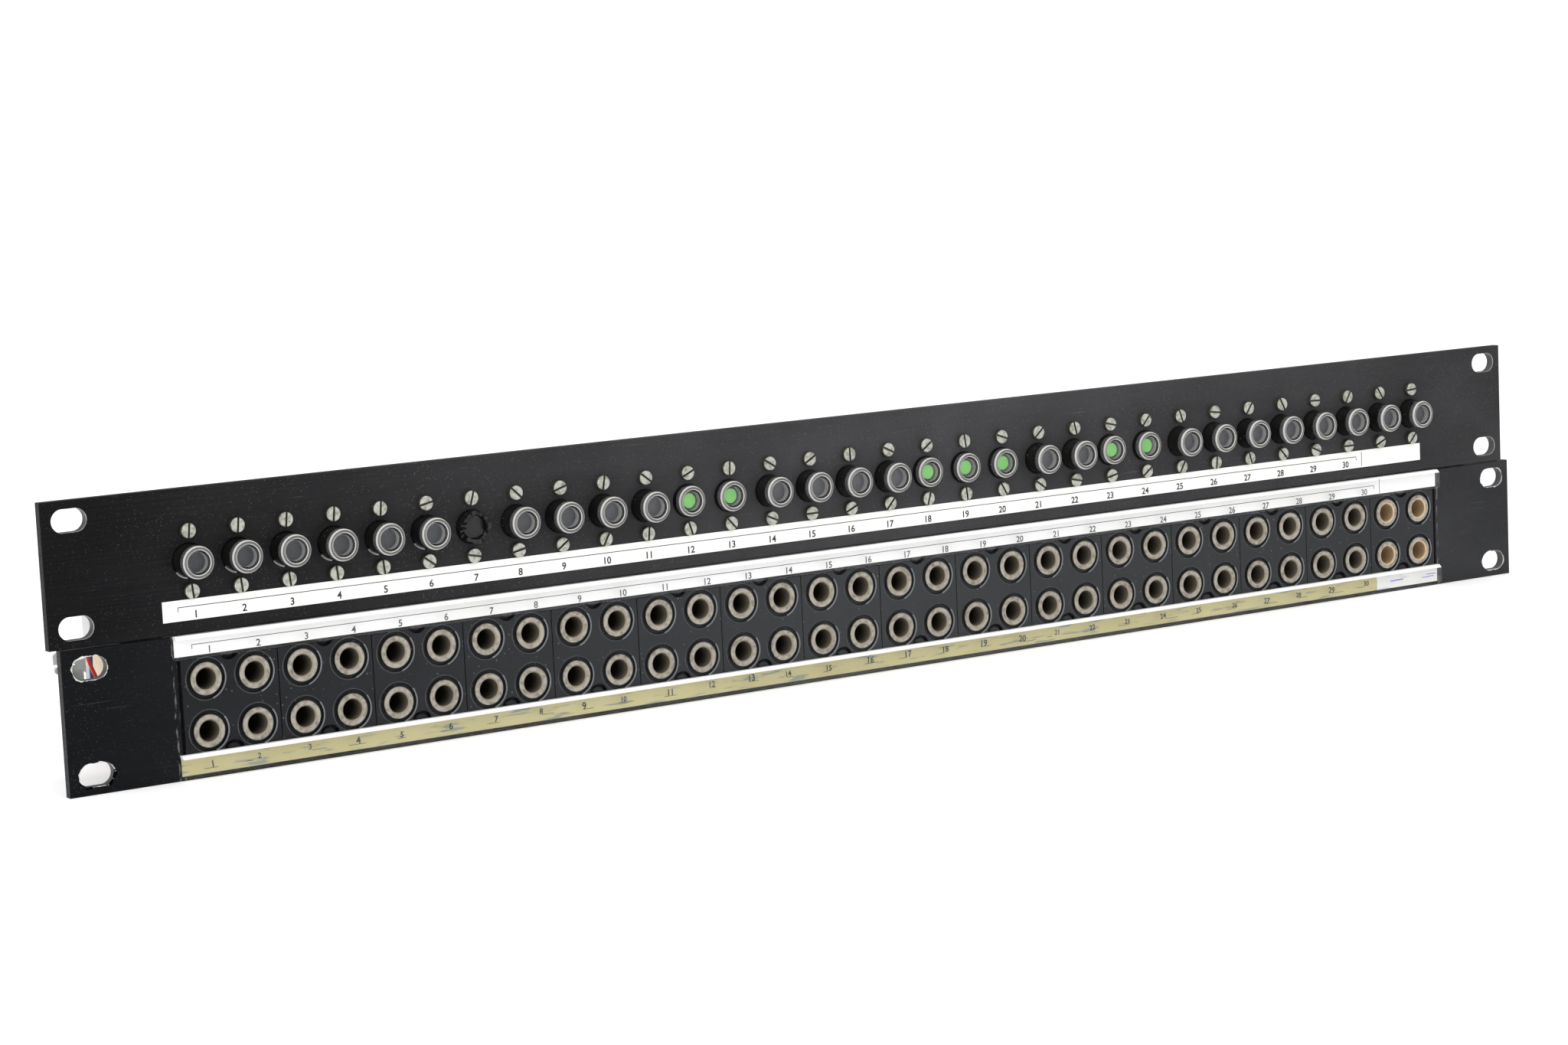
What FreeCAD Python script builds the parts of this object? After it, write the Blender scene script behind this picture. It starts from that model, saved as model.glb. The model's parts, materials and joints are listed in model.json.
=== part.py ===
import FreeCAD, Part
import math
import os

# A rack patch bay: a panel of latching push switches above a panel of jacks.
# All sizes are millimetres. The origin is the centre of the lower panel's four rack slots, on its
# front face. +X runs to the right seen from the front, +Y into the rack and +Z up.

# Rack panels
panel_width = 584.2
panel_height = 43.7
panel_thickness = 3.2
panel_edge_break = 0.3
upper_panel_rise = 44.05
upper_panel_shift = -3.3
slot_spacing_x = 566.7
slot_spacing_z = 31.75
slot_length = 11.0
slot_height = 7.0

# What repeats across the panels
columns = 32
column_pitch = 15.875
row_spacing = 15.875
jack_columns_per_module = 2
module_count = columns // jack_columns_per_module
module_pitch = jack_columns_per_module * column_pitch

# Push switches
switch_row_offset = -0.6
latched_columns = (12, 13, 18, 19, 20, 23, 24)
lost_lens_column = 7
button_travel = 4.0
button_reach = 7.6
barrel_diameter = 10.1
barrel_wall = 1.3
panel_hole_clearance = 0.45
guide_clearance = 0.08
lens_diameter = 10.0
lens_height = 2.3
lens_spigot_length = 3.2
lens_window = 0.8
lens_bevel = 0.5
lens_lip_width = 1.35
iris_depth = 3.6
iris_thickness = 0.5
iris_hole_diameter = 5.2
post_diameter = 4.8
post_gap_when_pressed = 2.4
switch_width = 15.2
switch_height = 23.6
switch_flange_thickness = 3.0
switch_guide_length = 6.0
switch_case_width = 14.4
switch_case_wall = 1.0
switch_case_length = 24.0
switch_base_thickness = 3.0
switch_base_seat = 1.0
carriage_length = 5.0
carriage_clearance = 0.3
contact_clip_width = 2.0
contact_clip_height = 8.0
contact_clip_thickness = 0.25
spring_wire = 0.6
spring_wire_facets = 8
spring_turns = 5
spring_end_gap = 0.15
spring_outer_diameter = 9.4
latch_wire = 0.8
terminal_rows = 3
terminal_spacing = 4.0
terminal_width = 1.0
terminal_thickness = 0.5
terminal_gap = 0.1
terminal_tail = 7.0
switch_screw_spacing = 18.1
switch_screw_diameter = 2.5
switch_screw_head_diameter = 4.6
switch_screw_head_height = 1.6
switch_screw_slot_width = 0.7
switch_screw_slot_depth = 0.8
thread_gap = 0.02
screw_hole_clearance = 0.2

# Label strip stuck under the switches
label_left = 256.2
label_right = 250.0
label_top = -11.5
label_height = 6.3
label_thickness = 0.25

# Jack modules
jack_field_offset = -1.0
jack_field_rise = 0.15
module_gap = 0.3
opening_top = 14.5
opening_bottom = -14.1
opening_side_gap = 1.0
boss_clearance = 0.15
module_flange_height = 41.0
module_flange_thickness = 4.0
housing_height = 32.4
housing_length = 30.0
housing_wall = 1.4
housing_front_wall = 5.0
recess_diameter = 13.0
recess_depth = 1.0
ferrule_diameter = 10.2
ferrule_reach = 0.5
ferrule_round = 0.35
plug_bore_diameter = 6.5
mouth_flare = 0.35
sleeve_diameter = 9.0
sleeve_length = 11.5
sleeve_gap = 0.05
module_screw_top = 16.4
module_screw_bottom = -14.9
module_screw_recess_diameter = 7.0
module_screw_recess_depth = 2.1
module_screw_diameter = 3.0
module_screw_head_diameter = 5.2
module_screw_head_height = 1.7
module_screw_length = 7.0
insert_diameter = 4.6

# Jack contacts
rear_block_thickness = 8.0
rear_block_gap = 0.1
contact_width = 3.0
contact_thickness = 0.4
contact_slot_gap = 0.1
contact_tail = 8.0
tip_contact_reach = 22.0
ring_contact_reach = 14.0
tip_contact_height = 5.2
ring_contact_height = 4.8
tip_bump_height = 2.9
ring_bump_height = 3.45
normal_contact_height = 6.2
normal_contact_reach = 24.0
bump_length = 3.0

# Designation strips over the module rails
holder_left = 256.9
holder_right = 254.2
holder_height = 7.2
upper_holder_bottom = 14.75
lower_holder_bottom = -21.2
holder_thickness = 2.6
holder_bevel = 1.1
holder_wall = 0.6
card_thickness = 0.3
card_side_gap = 0.2
lower_card_end = 223.5

# Rear frame
bracket_sheet = 1.5
bracket_position = 258.7
bracket_depth = 62.0
bracket_flange_width = 12.0
bracket_top = 60.0
bracket_corner = 6.0
stud_diameter = 4.0
stud_spacing = 20.0
stud_length = 9.0
nut_across_flats = 7.0
nut_height = 3.2
lacing_bar_diameter = 6.0
lacing_bar_y = 56.0
lacing_bar_z = 30.0
lacing_bar_overhang = 4.5
bar_nut_across_flats = 10.0
bar_nut_height = 3.0

# Left-hand link bracket, its terminal board and the two link wires
link_front_y = 24.0
link_sheet = 1.2
link_edge = 282.6
link_ear = 285.2
link_inner = 275.0
link_base_end = 52.0
link_bottom = -16.0
link_arm_top = 4.0
link_top_left = 13.8
link_top_right = 15.2
link_ear_bottom = 14.3
link_ear_top = 17.8
link_slot_length = 14.0
link_slot_width = 3.4
pad_thickness = 1.0
board_thickness = 1.6
board_start = 29.0
board_end = 49.0
board_bottom = -14.0
board_top = 15.0
board_tag_diameter = 1.6
board_tag_length = 2.5
board_tag_rows = 5
board_tag_edge = 4.0
board_rivet_edge = 9.0
board_rivet_z = -5.0
solder_gap = 0.7
wire_diameter = 1.2
wire_window_diameter = 9.0
wire_window_y = 46.0
wire_window_z = 19.0
clip_radius = 5.8
clip_wall = 1.3
clip_start = 22.0
clip_width = 8.0
clip_x = 281.5
clip_z = 44.2
clip_foot_length = 9.0
rivet_diameter = 3.0
rivet_head_diameter = 5.0
rivet_head_height = 0.9

# Derived places
panel_back = panel_thickness
switch_row_x = upper_panel_shift + switch_row_offset
switch_row_z = upper_panel_rise
barrel_rear = panel_back + switch_guide_length + carriage_clearance
case_back = panel_back + switch_case_length
boss_top = opening_top - boss_clearance
boss_bottom = opening_bottom + boss_clearance
module_flange_back = panel_back + module_flange_thickness
housing_back = module_flange_back + housing_length
cavity_start = panel_back + housing_front_wall
bracket_outer = bracket_position + bracket_sheet
panel_bottom = -panel_height / 2

X = FreeCAD.Vector(1, 0, 0)
Y = FreeCAD.Vector(0, 1, 0)
Z = FreeCAD.Vector(0, 0, 1)


def at(x, y, z):
    """A point."""
    return FreeCAD.Vector(x, y, z)


def block(x0, x1, y0, y1, z0, z1):
    """A box between two corners."""
    return Part.makeBox(x1 - x0, y1 - y0, z1 - z0, at(x0, y0, z0))


def rod(radius, x, z, y0, y1):
    """A cylinder that runs along Y."""
    return Part.makeCylinder(radius, y1 - y0, at(x, y0, z), Y)


def tube(outer, inner, x, z, y0, y1):
    """A pipe that runs along Y."""
    return rod(outer, x, z, y0, y1).cut(rod(inner, x, z, y0 - 1, y1 + 1))


def obround(length, height, x, z, y0, y1):
    """A rounded slot's volume, long in X, cut along Y."""
    half = (length - height) / 2
    middle = block(x - half, x + half, y0, y1, z - height / 2, z + height / 2)
    ends = [rod(height / 2, x + side * half, z, y0, y1) for side in (-1, 1)]
    return middle.fuse(ends)


def extruded(points, direction):
    """A prism over a closed outline of points."""
    outline = Part.makePolygon(points + [points[0]])
    return Part.Face(outline).extrude(direction)


def hexagon(across_flats, x, z, y0, y1, bore):
    """A nut whose axis runs along Y."""
    radius = across_flats / math.sqrt(3)
    corners = [
        at(x + radius * math.cos(math.radians(60 * i)), y0, z + radius * math.sin(math.radians(60 * i)))
        for i in range(6)
    ]
    return extruded(corners, Y * (y1 - y0)).cut(rod(bore / 2, x, z, y0 - 1, y1 + 1))


def placed(shapes, x, y=0.0, z=0.0):
    """Copies of shapes moved to one place."""
    moved = []
    for shape in shapes:
        one = shape.copy()
        one.translate(at(x, y, z))
        moved.append(one)
    return moved


def bevelled(shape, size, keep):
    """The shape with the edges that keep() picks chamfered."""
    return shape.makeChamfer(size, [edge for edge in shape.Edges if keep(edge)])


def save(name, shapes):
    """Write one node as a group of separate solids."""
    solids = [solid for shape in shapes for solid in shape.Solids]
    Part.makeCompound(solids).exportStep("parts/" + name + ".step")


def column_x(column, centre):
    """The X of a column, counted from 1 at the left."""
    return centre + (column - 1 - (columns - 1) / 2) * column_pitch


def rack_slots(x, z):
    """The four open-cornered rack slots of one panel, as volumes to cut."""
    return [
        obround(slot_length, slot_height, x + sx * slot_spacing_x / 2, z + sz * slot_spacing_z / 2,
                -1, panel_back + 1)
        for sx in (-1, 1)
        for sz in (-1, 1)
    ]


def blank_panel(x, z):
    """A rack panel with a broken front edge and no holes yet."""
    plate = block(x - panel_width / 2, x + panel_width / 2, 0, panel_back,
                  z - panel_height / 2, z + panel_height / 2)
    return bevelled(plate, panel_edge_break, lambda edge: edge.BoundBox.YMax < 0.001)


def worn_slot_bites(x, z):
    """Small bites that many screws have taken out of the front rim of one slot."""
    bites = []
    half = (slot_length - slot_height) / 2
    for i in range(11):
        angle = math.radians(200 + 17 * i)
        radius = 0.5 + 0.22 * math.sin(2.3 * i)
        side = half if math.cos(angle) > 0 else -half
        reach = slot_height / 2 + 0.15
        bites.append(rod(radius, x + side + reach * math.cos(angle), z + reach * math.sin(angle),
                         -1, panel_thickness * 0.4))
    return bites


# ---------------------------------------------------------------- upper panel

def upper_panel():
    """The switch panel: one hole a button, and two for its fixing screws."""
    barrel_hole = barrel_diameter / 2 + panel_hole_clearance
    screw_hole = switch_screw_diameter / 2 + screw_hole_clearance
    cuts = rack_slots(upper_panel_shift, upper_panel_rise)
    for column in range(1, columns + 1):
        x = column_x(column, switch_row_x)
        cuts.append(rod(barrel_hole, x, switch_row_z, -1, panel_back + 1))
        for side in (-1, 1):
            cuts.append(rod(screw_hole, x, switch_row_z + side * switch_screw_spacing / 2,
                            -1, panel_back + 1))
    return blank_panel(upper_panel_shift, upper_panel_rise).cut(cuts)


def button_front(column):
    """The Y of a button's front face at rest."""
    pressed = button_travel if column in latched_columns else 0.0
    return pressed - button_reach


def lens():
    """The clear cap, with its front face at Y = 0 and its spigot in the barrel."""
    outer = lens_diameter / 2
    spigot = barrel_diameter / 2 - barrel_wall - sleeve_gap
    well = outer - lens_lip_width
    cap = rod(outer, 0, 0, 0, lens_height).fuse(rod(spigot, 0, 0, lens_height, lens_spigot_length))
    cap = bevelled(cap, lens_bevel, lambda edge: edge.BoundBox.YMax < 0.001)
    return cap.cut(rod(min(well, spigot - 0.6), 0, 0, lens_window, lens_spigot_length + 1))


def broken_rim(front, outer):
    """The jagged volume that is missing from the barrel which lost its lens."""
    teeth = [(outer + 1, -1.0), (outer + 1, 0.5), (3.7, 1.5), (2.5, 3.1), (0.6, 1.0), (-1.6, 2.4),
             (-3.4, 0.7), (-outer - 1, 1.9), (-outer - 1, -1.0)]
    return extruded([at(x, front + y, -outer) for x, y in teeth], Z * (2 * outer))


def barrel_and_carriage(front, back, broken):
    """The black moulding: a barrel through the panel and a square carriage behind it."""
    radius = barrel_diameter / 2
    carriage_side = switch_case_width / 2 - switch_case_wall - carriage_clearance
    moulding = rod(radius, 0, 0, front, back + 0.5)
    moulding = moulding.fuse(block(-carriage_side, carriage_side, back, back + carriage_length,
                                   -carriage_side, carriage_side))
    moulding = moulding.cut(rod(radius - barrel_wall, 0, 0, front - 1, back + carriage_length + 1))
    for side in (-1, 1):
        clip_seat = side * (carriage_side - contact_clip_thickness / 2)
        moulding = moulding.cut(block(clip_seat - contact_clip_thickness / 2,
                                      clip_seat + contact_clip_thickness / 2,
                                      back + 1, back + 1 + contact_clip_width,
                                      -contact_clip_height / 2, contact_clip_height / 2))
    if broken:
        moulding = moulding.cut(broken_rim(front, radius))
    return moulding


def plunger(column):
    """One button: its moulding, lens, iris and two wiping clips, at its place at rest."""
    front = button_front(column)
    pressed = front + button_reach
    back = barrel_rear + pressed
    broken = column == lost_lens_column
    barrel_front = front + lens_height
    iris_front = front + iris_depth
    iris_radius = barrel_diameter / 2 - barrel_wall - sleeve_gap
    carriage_side = switch_case_width / 2 - switch_case_wall - carriage_clearance
    pieces = [barrel_and_carriage(barrel_front, back, broken)]
    for side in (-1, 1):
        clip = block(carriage_side - contact_clip_thickness, carriage_side,
                     back + 1, back + 1 + contact_clip_width,
                     -contact_clip_height / 2, contact_clip_height / 2)
        if side < 0:
            clip = clip.mirror(at(0, 0, 0), X)
        pieces.append(clip)
    if broken:
        iris_front += 3.0
    else:
        pieces += placed([lens()], 0, front)
    pieces.append(tube(iris_radius, iris_hole_diameter / 2, 0, 0, iris_front, iris_front + iris_thickness))
    return placed(pieces, column_x(column, switch_row_x), 0, switch_row_z)


def switch_body():
    """A switch case: a flange against the panel, a round guide and a square chamber."""
    half_case = switch_case_width / 2
    chamber = half_case - switch_case_wall
    flange = block(-switch_width / 2, switch_width / 2, panel_back, panel_back + switch_flange_thickness,
                   -switch_height / 2, switch_height / 2)
    case = block(-half_case, half_case, panel_back, case_back, -half_case, half_case)
    body = flange.fuse(case).removeSplitter()
    body = body.cut(rod(barrel_diameter / 2 + guide_clearance, 0, 0, 0, case_back + 1))
    body = body.cut(block(-chamber, chamber, panel_back + switch_guide_length, case_back + 1,
                          -chamber, chamber))
    threads = [rod(switch_screw_diameter / 2 + thread_gap, 0, side * switch_screw_spacing / 2,
                   panel_back - 1, panel_back + switch_flange_thickness + 1) for side in (-1, 1)]
    return body.cut(threads)


def terminal_places():
    """The X side, and the Z, of each of a switch's terminals."""
    first = -(terminal_rows - 1) / 2 * terminal_spacing
    return [(side, first + i * terminal_spacing) for side in (-1, 1) for i in range(terminal_rows)]


def terminal(side, z, gap=0.0):
    """A flat terminal that lies along the chamber wall and leaves through the base."""
    wall = switch_case_width / 2 - switch_case_wall - terminal_gap + gap
    inner = wall - terminal_thickness - 2 * gap
    low, high = sorted((side * wall, side * inner))
    start = panel_back + switch_guide_length + button_travel + carriage_length + 4
    return block(low, high, start, case_back + switch_base_thickness + terminal_tail,
                 z - terminal_width / 2 - gap, z + terminal_width / 2 + gap)


def switch_base():
    """The plate that shuts a switch case, with slots for its terminals."""
    half_case = switch_case_width / 2
    seat = half_case - switch_case_wall - carriage_clearance / 2
    plate = block(-half_case, half_case, case_back, case_back + switch_base_thickness, -half_case, half_case)
    plate = plate.fuse(block(-seat, seat, case_back - switch_base_seat, case_back, -seat, seat))
    plate = plate.cut([terminal(side, z, contact_slot_gap) for side, z in terminal_places()])
    return plate.cut(rod(post_diameter / 2 + sleeve_gap, 0, 0, case_back - 2, case_back + 1.5))


def indicator_post():
    """The fixed coloured post that shows behind the lens of a pressed button."""
    tip = button_travel - button_reach + post_gap_when_pressed
    return rod(post_diameter / 2, 0, 0, tip, case_back + 1.5)


def coil(start, end):
    """A return spring between two faces, wound about the switch's axis from faceted wire."""
    radius = spring_wire / 2
    mean = spring_outer_diameter / 2 - radius
    low = start + spring_wire / 2 + spring_end_gap
    height = end - spring_wire / 2 - spring_end_gap - low
    helix = Part.makeHelix(height / spring_turns, height, mean)
    turns = [2 * math.pi * (i + 0.5) / spring_wire_facets for i in range(spring_wire_facets)]
    section = [at(mean + radius * math.cos(turn), 0, radius * math.sin(turn)) for turn in turns]
    ring = Part.makePolygon(section + [section[0]])
    spring = Part.Wire(helix.Edges).makePipeShell([ring], True, True)
    spring.rotate(at(0, 0, 0), X, -90)
    spring.translate(at(0, low, 0))
    return spring


def latch_hook():
    """The bent wire that holds a pressed carriage: a stem along the floor of the chamber and a hook."""
    chamber = switch_case_width / 2 - switch_case_wall
    z = -chamber + 0.1
    end = case_back - switch_base_seat - 0.1
    start = end - 2.6
    return block(-latch_wire / 2, latch_wire / 2, start, end, z, z + latch_wire).fuse(
        block(-latch_wire / 2, latch_wire / 2, start, start + latch_wire, z, z + 1.4 * latch_wire))


def switch_screw(angle):
    """A slotted cheese-head screw from the front of the panel into the switch's flange."""
    head = rod(switch_screw_head_diameter / 2, 0, 0, -switch_screw_head_height, 0)
    head = bevelled(head, 0.2, lambda edge: edge.BoundBox.YMax < -switch_screw_head_height + 0.01)
    slot = block(-switch_screw_head_diameter, switch_screw_head_diameter,
                 -switch_screw_head_height - 1, -switch_screw_head_height + switch_screw_slot_depth,
                 -switch_screw_slot_width / 2, switch_screw_slot_width / 2)
    slot.rotate(at(0, 0, 0), Y, angle)
    shank = rod(switch_screw_diameter / 2, 0, 0, 0, panel_back + switch_flange_thickness + 1)
    return head.cut(slot).fuse(shank)


def switches():
    """Write the nodes of the switch row."""
    body, base, post = switch_body(), switch_base(), indicator_post()
    terminals = [terminal(side, z) for side, z in terminal_places()]
    rest_end = case_back - switch_base_seat
    coils = {pressed: coil(barrel_rear + carriage_length + pressed, rest_end) for pressed in (0.0, button_travel)}
    hook = latch_hook()
    bodies, bases, posts, springs, pins, screws = [], [], [], [], [], []
    for column in range(1, columns + 1):
        x = column_x(column, switch_row_x)
        pressed = button_travel if column in latched_columns else 0.0
        bodies += placed([body], x, 0, switch_row_z)
        bases += placed([base], x, 0, switch_row_z)
        posts += placed([post], x, 0, switch_row_z)
        springs += placed([coils[pressed], hook], x, 0, switch_row_z)
        pins += placed(terminals, x, 0, switch_row_z)
        for side in (-1, 1):
            turn = 90 + 6 * side if column < 6 else (47 * column + 71 * side * column) % 180
            screws += placed([switch_screw(turn)], x, 0, switch_row_z + side * switch_screw_spacing / 2)
        save("plunger_%02d" % column, plunger(column))
    save("switch_bodies", bodies)
    save("switch_bases", bases)
    save("indicator_posts", posts)
    save("switch_springs", springs)
    save("switch_terminals", pins)
    save("switch_screws", screws)


def label_strip():
    """The self-adhesive number strip under the switches."""
    return block(upper_panel_shift - label_left, upper_panel_shift + label_right, -label_thickness, 0,
                 upper_panel_rise + label_top - label_height, upper_panel_rise + label_top)


# ---------------------------------------------------------------- lower panel

def module_x(module):
    """The centre of a jack module, counted from 0 at the left."""
    return jack_field_offset + (module - (module_count - 1) / 2) * module_pitch


def lower_panel():
    """The jack panel: one long opening, and a sunk screw hole above and below each module."""
    half_field = module_count * module_pitch / 2 + opening_side_gap
    cuts = rack_slots(0, 0)
    cuts += worn_slot_bites(-slot_spacing_x / 2, -slot_spacing_z / 2)
    cuts.append(block(jack_field_offset - half_field, jack_field_offset + half_field, -1, panel_back + 1,
                      opening_bottom, opening_top))
    for module in range(module_count):
        for z in (module_screw_bottom, module_screw_top):
            cuts.append(rod(module_screw_recess_diameter / 2, module_x(module), z,
                            -1, module_screw_recess_depth))
            cuts.append(rod(module_screw_diameter / 2 + screw_hole_clearance, module_x(module), z,
                            -1, panel_back + 1))
    return blank_panel(0, 0).cut(cuts)


def jack_places():
    """The X and Z of a module's four jacks about the module's centre."""
    return [(sx * column_pitch / 2, jack_field_rise + sz * row_spacing / 2) for sz in (1, -1) for sx in (-1, 1)]


def jack_housing():
    """A moulded four-jack module: a face through the panel's opening, a flange and an open-backed case."""
    half = module_pitch / 2 - module_gap / 2
    middle = jack_field_rise
    face = block(-half, half, 0, panel_back, boss_bottom, boss_top)
    flange = block(-half, half, panel_back, module_flange_back,
                   middle - module_flange_height / 2, middle + module_flange_height / 2)
    case = block(-half, half, panel_back, housing_back, middle - housing_height / 2, middle + housing_height / 2)
    cavity = block(-half + housing_wall, half - housing_wall, cavity_start, housing_back + 1,
                   middle - housing_height / 2 + housing_wall, middle + housing_height / 2 - housing_wall)
    body = face.fuse([flange, case]).removeSplitter().cut(cavity)
    cuts = []
    for x, z in jack_places():
        cuts.append(rod(recess_diameter / 2, x, z, -1, recess_depth))
        cuts.append(rod(sleeve_diameter / 2 + sleeve_gap, x, z, -1, cavity_start + 1))
    for z in (module_screw_bottom, module_screw_top):
        cuts.append(rod(module_screw_recess_diameter / 2, 0, z, -1, module_screw_recess_depth))
        cuts.append(rod(insert_diameter / 2, 0, z, -1, module_flange_back + 8))
    return body.cut(cuts)


def jack_sleeve():
    """A turned sleeve with a rounded front ring. Its bore takes the plug."""
    ring = rod(ferrule_diameter / 2, 0, 0, -ferrule_reach, recess_depth)
    outer = ring.fuse(rod(sleeve_diameter / 2, 0, 0, recess_depth, sleeve_length)).removeSplitter()
    outer = outer.makeFillet(ferrule_round, [e for e in outer.Edges if e.BoundBox.YMax < -ferrule_reach + 0.01])
    bore = plug_bore_diameter / 2
    flare = Part.makeCone(bore + mouth_flare, bore, mouth_flare, at(0, -ferrule_reach, 0), Y)
    return outer.cut([rod(bore, 0, 0, -ferrule_reach - 1, sleeve_length + 1), flare])


def contact_strip(height, bump_height, reach, gap=0.0):
    """A flat spring above the bore: a tail through the rear block, a straight run and a bent tip."""
    end = housing_back + rear_block_thickness + contact_tail
    t = contact_thickness / 2 + gap
    w = contact_width / 2 + gap
    if gap:
        return block(-w, w, housing_back - 2, end, height - t, height + t)
    top = [(end, height + t), (reach + 2 * bump_length, height + t), (reach + bump_length, bump_height + t),
           (reach, bump_height + t), (reach - bump_length / 2, bump_height + 1.0 + t)]
    low = [(y, z - 2 * t) for y, z in reversed(top)]
    return extruded([at(-w, y, z) for y, z in top + low], X * (2 * w))


def normal_strip(gap=0.0):
    """The fixed contact that a spring rests on until a plug lifts it."""
    end = housing_back + rear_block_thickness + contact_tail
    t = contact_thickness / 2 + gap
    w = contact_width / 2 + gap
    start = housing_back - 2 if gap else normal_contact_reach
    return block(-w, w, start, end, normal_contact_height - t, normal_contact_height + t)


def turned_over(shape):
    """The shape mirrored about its jack's axis, top to bottom."""
    return shape.mirror(at(0, 0, 0), Z)


def jack_contacts(jack_z, gap=0.0):
    """A jack's tip contact, ring contact and two normal contacts. The lower row's lie the other way up."""
    tip = contact_strip(tip_contact_height, tip_bump_height, tip_contact_reach, gap)
    ring = turned_over(contact_strip(ring_contact_height, ring_bump_height, ring_contact_reach, gap))
    if jack_z < jack_field_rise:
        tip, ring = turned_over(tip), turned_over(ring)
    return tip, ring, [normal_strip(gap), turned_over(normal_strip(gap))]


def rear_block():
    """The insulating block that shuts a module and holds its contacts."""
    half = module_pitch / 2 - module_gap / 2
    lip = half - housing_wall - rear_block_gap
    middle = jack_field_rise
    high = housing_height / 2
    plate = block(-half, half, housing_back, housing_back + rear_block_thickness, middle - high, middle + high)
    inner = high - housing_wall - rear_block_gap
    plate = plate.fuse(block(-lip, lip, housing_back - 1.5, housing_back, middle - inner, middle + inner))
    slots = []
    for x, z in jack_places():
        tip, ring, normals = jack_contacts(z, contact_slot_gap)
        slots += placed([tip, ring] + normals, x, 0, z)
    return plate.cut(slots)


def module_screw():
    """A pan-head screw that sits sunk in the rail and draws the module against the panel."""
    head_back = module_screw_recess_depth
    head = rod(module_screw_head_diameter / 2, 0, 0, head_back - module_screw_head_height, head_back)
    head = bevelled(head, 0.4, lambda edge: edge.BoundBox.YMax < head_back - module_screw_head_height + 0.01)
    slot = block(-module_screw_head_diameter, module_screw_head_diameter, head_back - module_screw_head_height - 1,
                 head_back - module_screw_head_height + 0.8, -0.4, 0.4)
    slot.rotate(at(0, 0, 0), Y, 25)
    return head.cut(slot).fuse(rod(module_screw_diameter / 2, 0, 0, head_back, head_back + module_screw_length))


def jacks():
    """Write the nodes of the jack field."""
    housing, sleeve, block_shape, screw = jack_housing(), jack_sleeve(), rear_block(), module_screw()
    insert = tube(insert_diameter / 2, module_screw_diameter / 2 + thread_gap, 0, 0,
                  panel_back, module_flange_back + 4)
    housings, blocks, sleeves, tips, rings, rests, screws, inserts = [], [], [], [], [], [], [], []
    for module in range(module_count):
        x = module_x(module)
        housings += placed([housing], x)
        blocks += placed([block_shape], x)
        for z in (module_screw_bottom, module_screw_top):
            screws += placed([screw], x, 0, z)
            inserts += placed([insert], x, 0, z)
        for jack_x, jack_z in jack_places():
            tip, ring, normals = jack_contacts(jack_z)
            sleeves += placed([sleeve], x + jack_x, 0, jack_z)
            tips += placed([tip], x + jack_x, 0, jack_z)
            rings += placed([ring], x + jack_x, 0, jack_z)
            rests += placed(normals, x + jack_x, 0, jack_z)
    save("jack_housings", housings)
    save("jack_rear_blocks", blocks)
    save("jack_sleeves", sleeves)
    save("tip_springs", tips)
    save("ring_springs", rings)
    save("normal_contacts", rests)
    save("module_screws", screws)
    save("module_inserts", inserts)


def card_holder(bottom):
    """A clear extrusion with bevelled long edges and a slot behind for its card."""
    top = bottom + holder_height
    outline = [at(0, 0, bottom), at(0, -holder_thickness + holder_bevel, bottom),
               at(0, -holder_thickness, bottom + holder_bevel), at(0, -holder_thickness, top - holder_bevel),
               at(0, -holder_thickness + holder_bevel, top), at(0, 0, top)]
    holder = extruded(outline, X * (holder_left + holder_right))
    holder.translate(at(-holder_left, 0, 0))
    return holder.cut(block(-holder_left - 1, holder_right + 1, -card_thickness, 1,
                            bottom + holder_wall, top - holder_wall))


def card(left, right, bottom):
    """A paper card behind the clear extrusion."""
    return block(left, right, -card_thickness + 0.02, 0,
                 bottom + holder_wall + card_side_gap, bottom + holder_height - holder_wall - card_side_gap)


def designation_strips():
    """Write the two holders over the rails, and their cards."""
    left, right = card_side_gap - holder_left, holder_right - card_side_gap
    save("upper_card_holder", [card_holder(upper_holder_bottom)])
    save("lower_card_holder", [card_holder(lower_holder_bottom)])
    save("designation_cards", [
        card(left, right, upper_holder_bottom),
        card(left, lower_card_end - card_side_gap, lower_holder_bottom),
        card(lower_card_end, right, lower_holder_bottom),
    ])


# ---------------------------------------------------------------- rear frame

def stud_places():
    """The X side and the Z of each stud that is pressed into the back of a panel."""
    middle = bracket_outer + bracket_flange_width / 2
    return [(side * middle, rise + end * stud_spacing / 2)
            for side in (-1, 1) for rise in (0, upper_panel_rise) for end in (-1, 1)]


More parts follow.
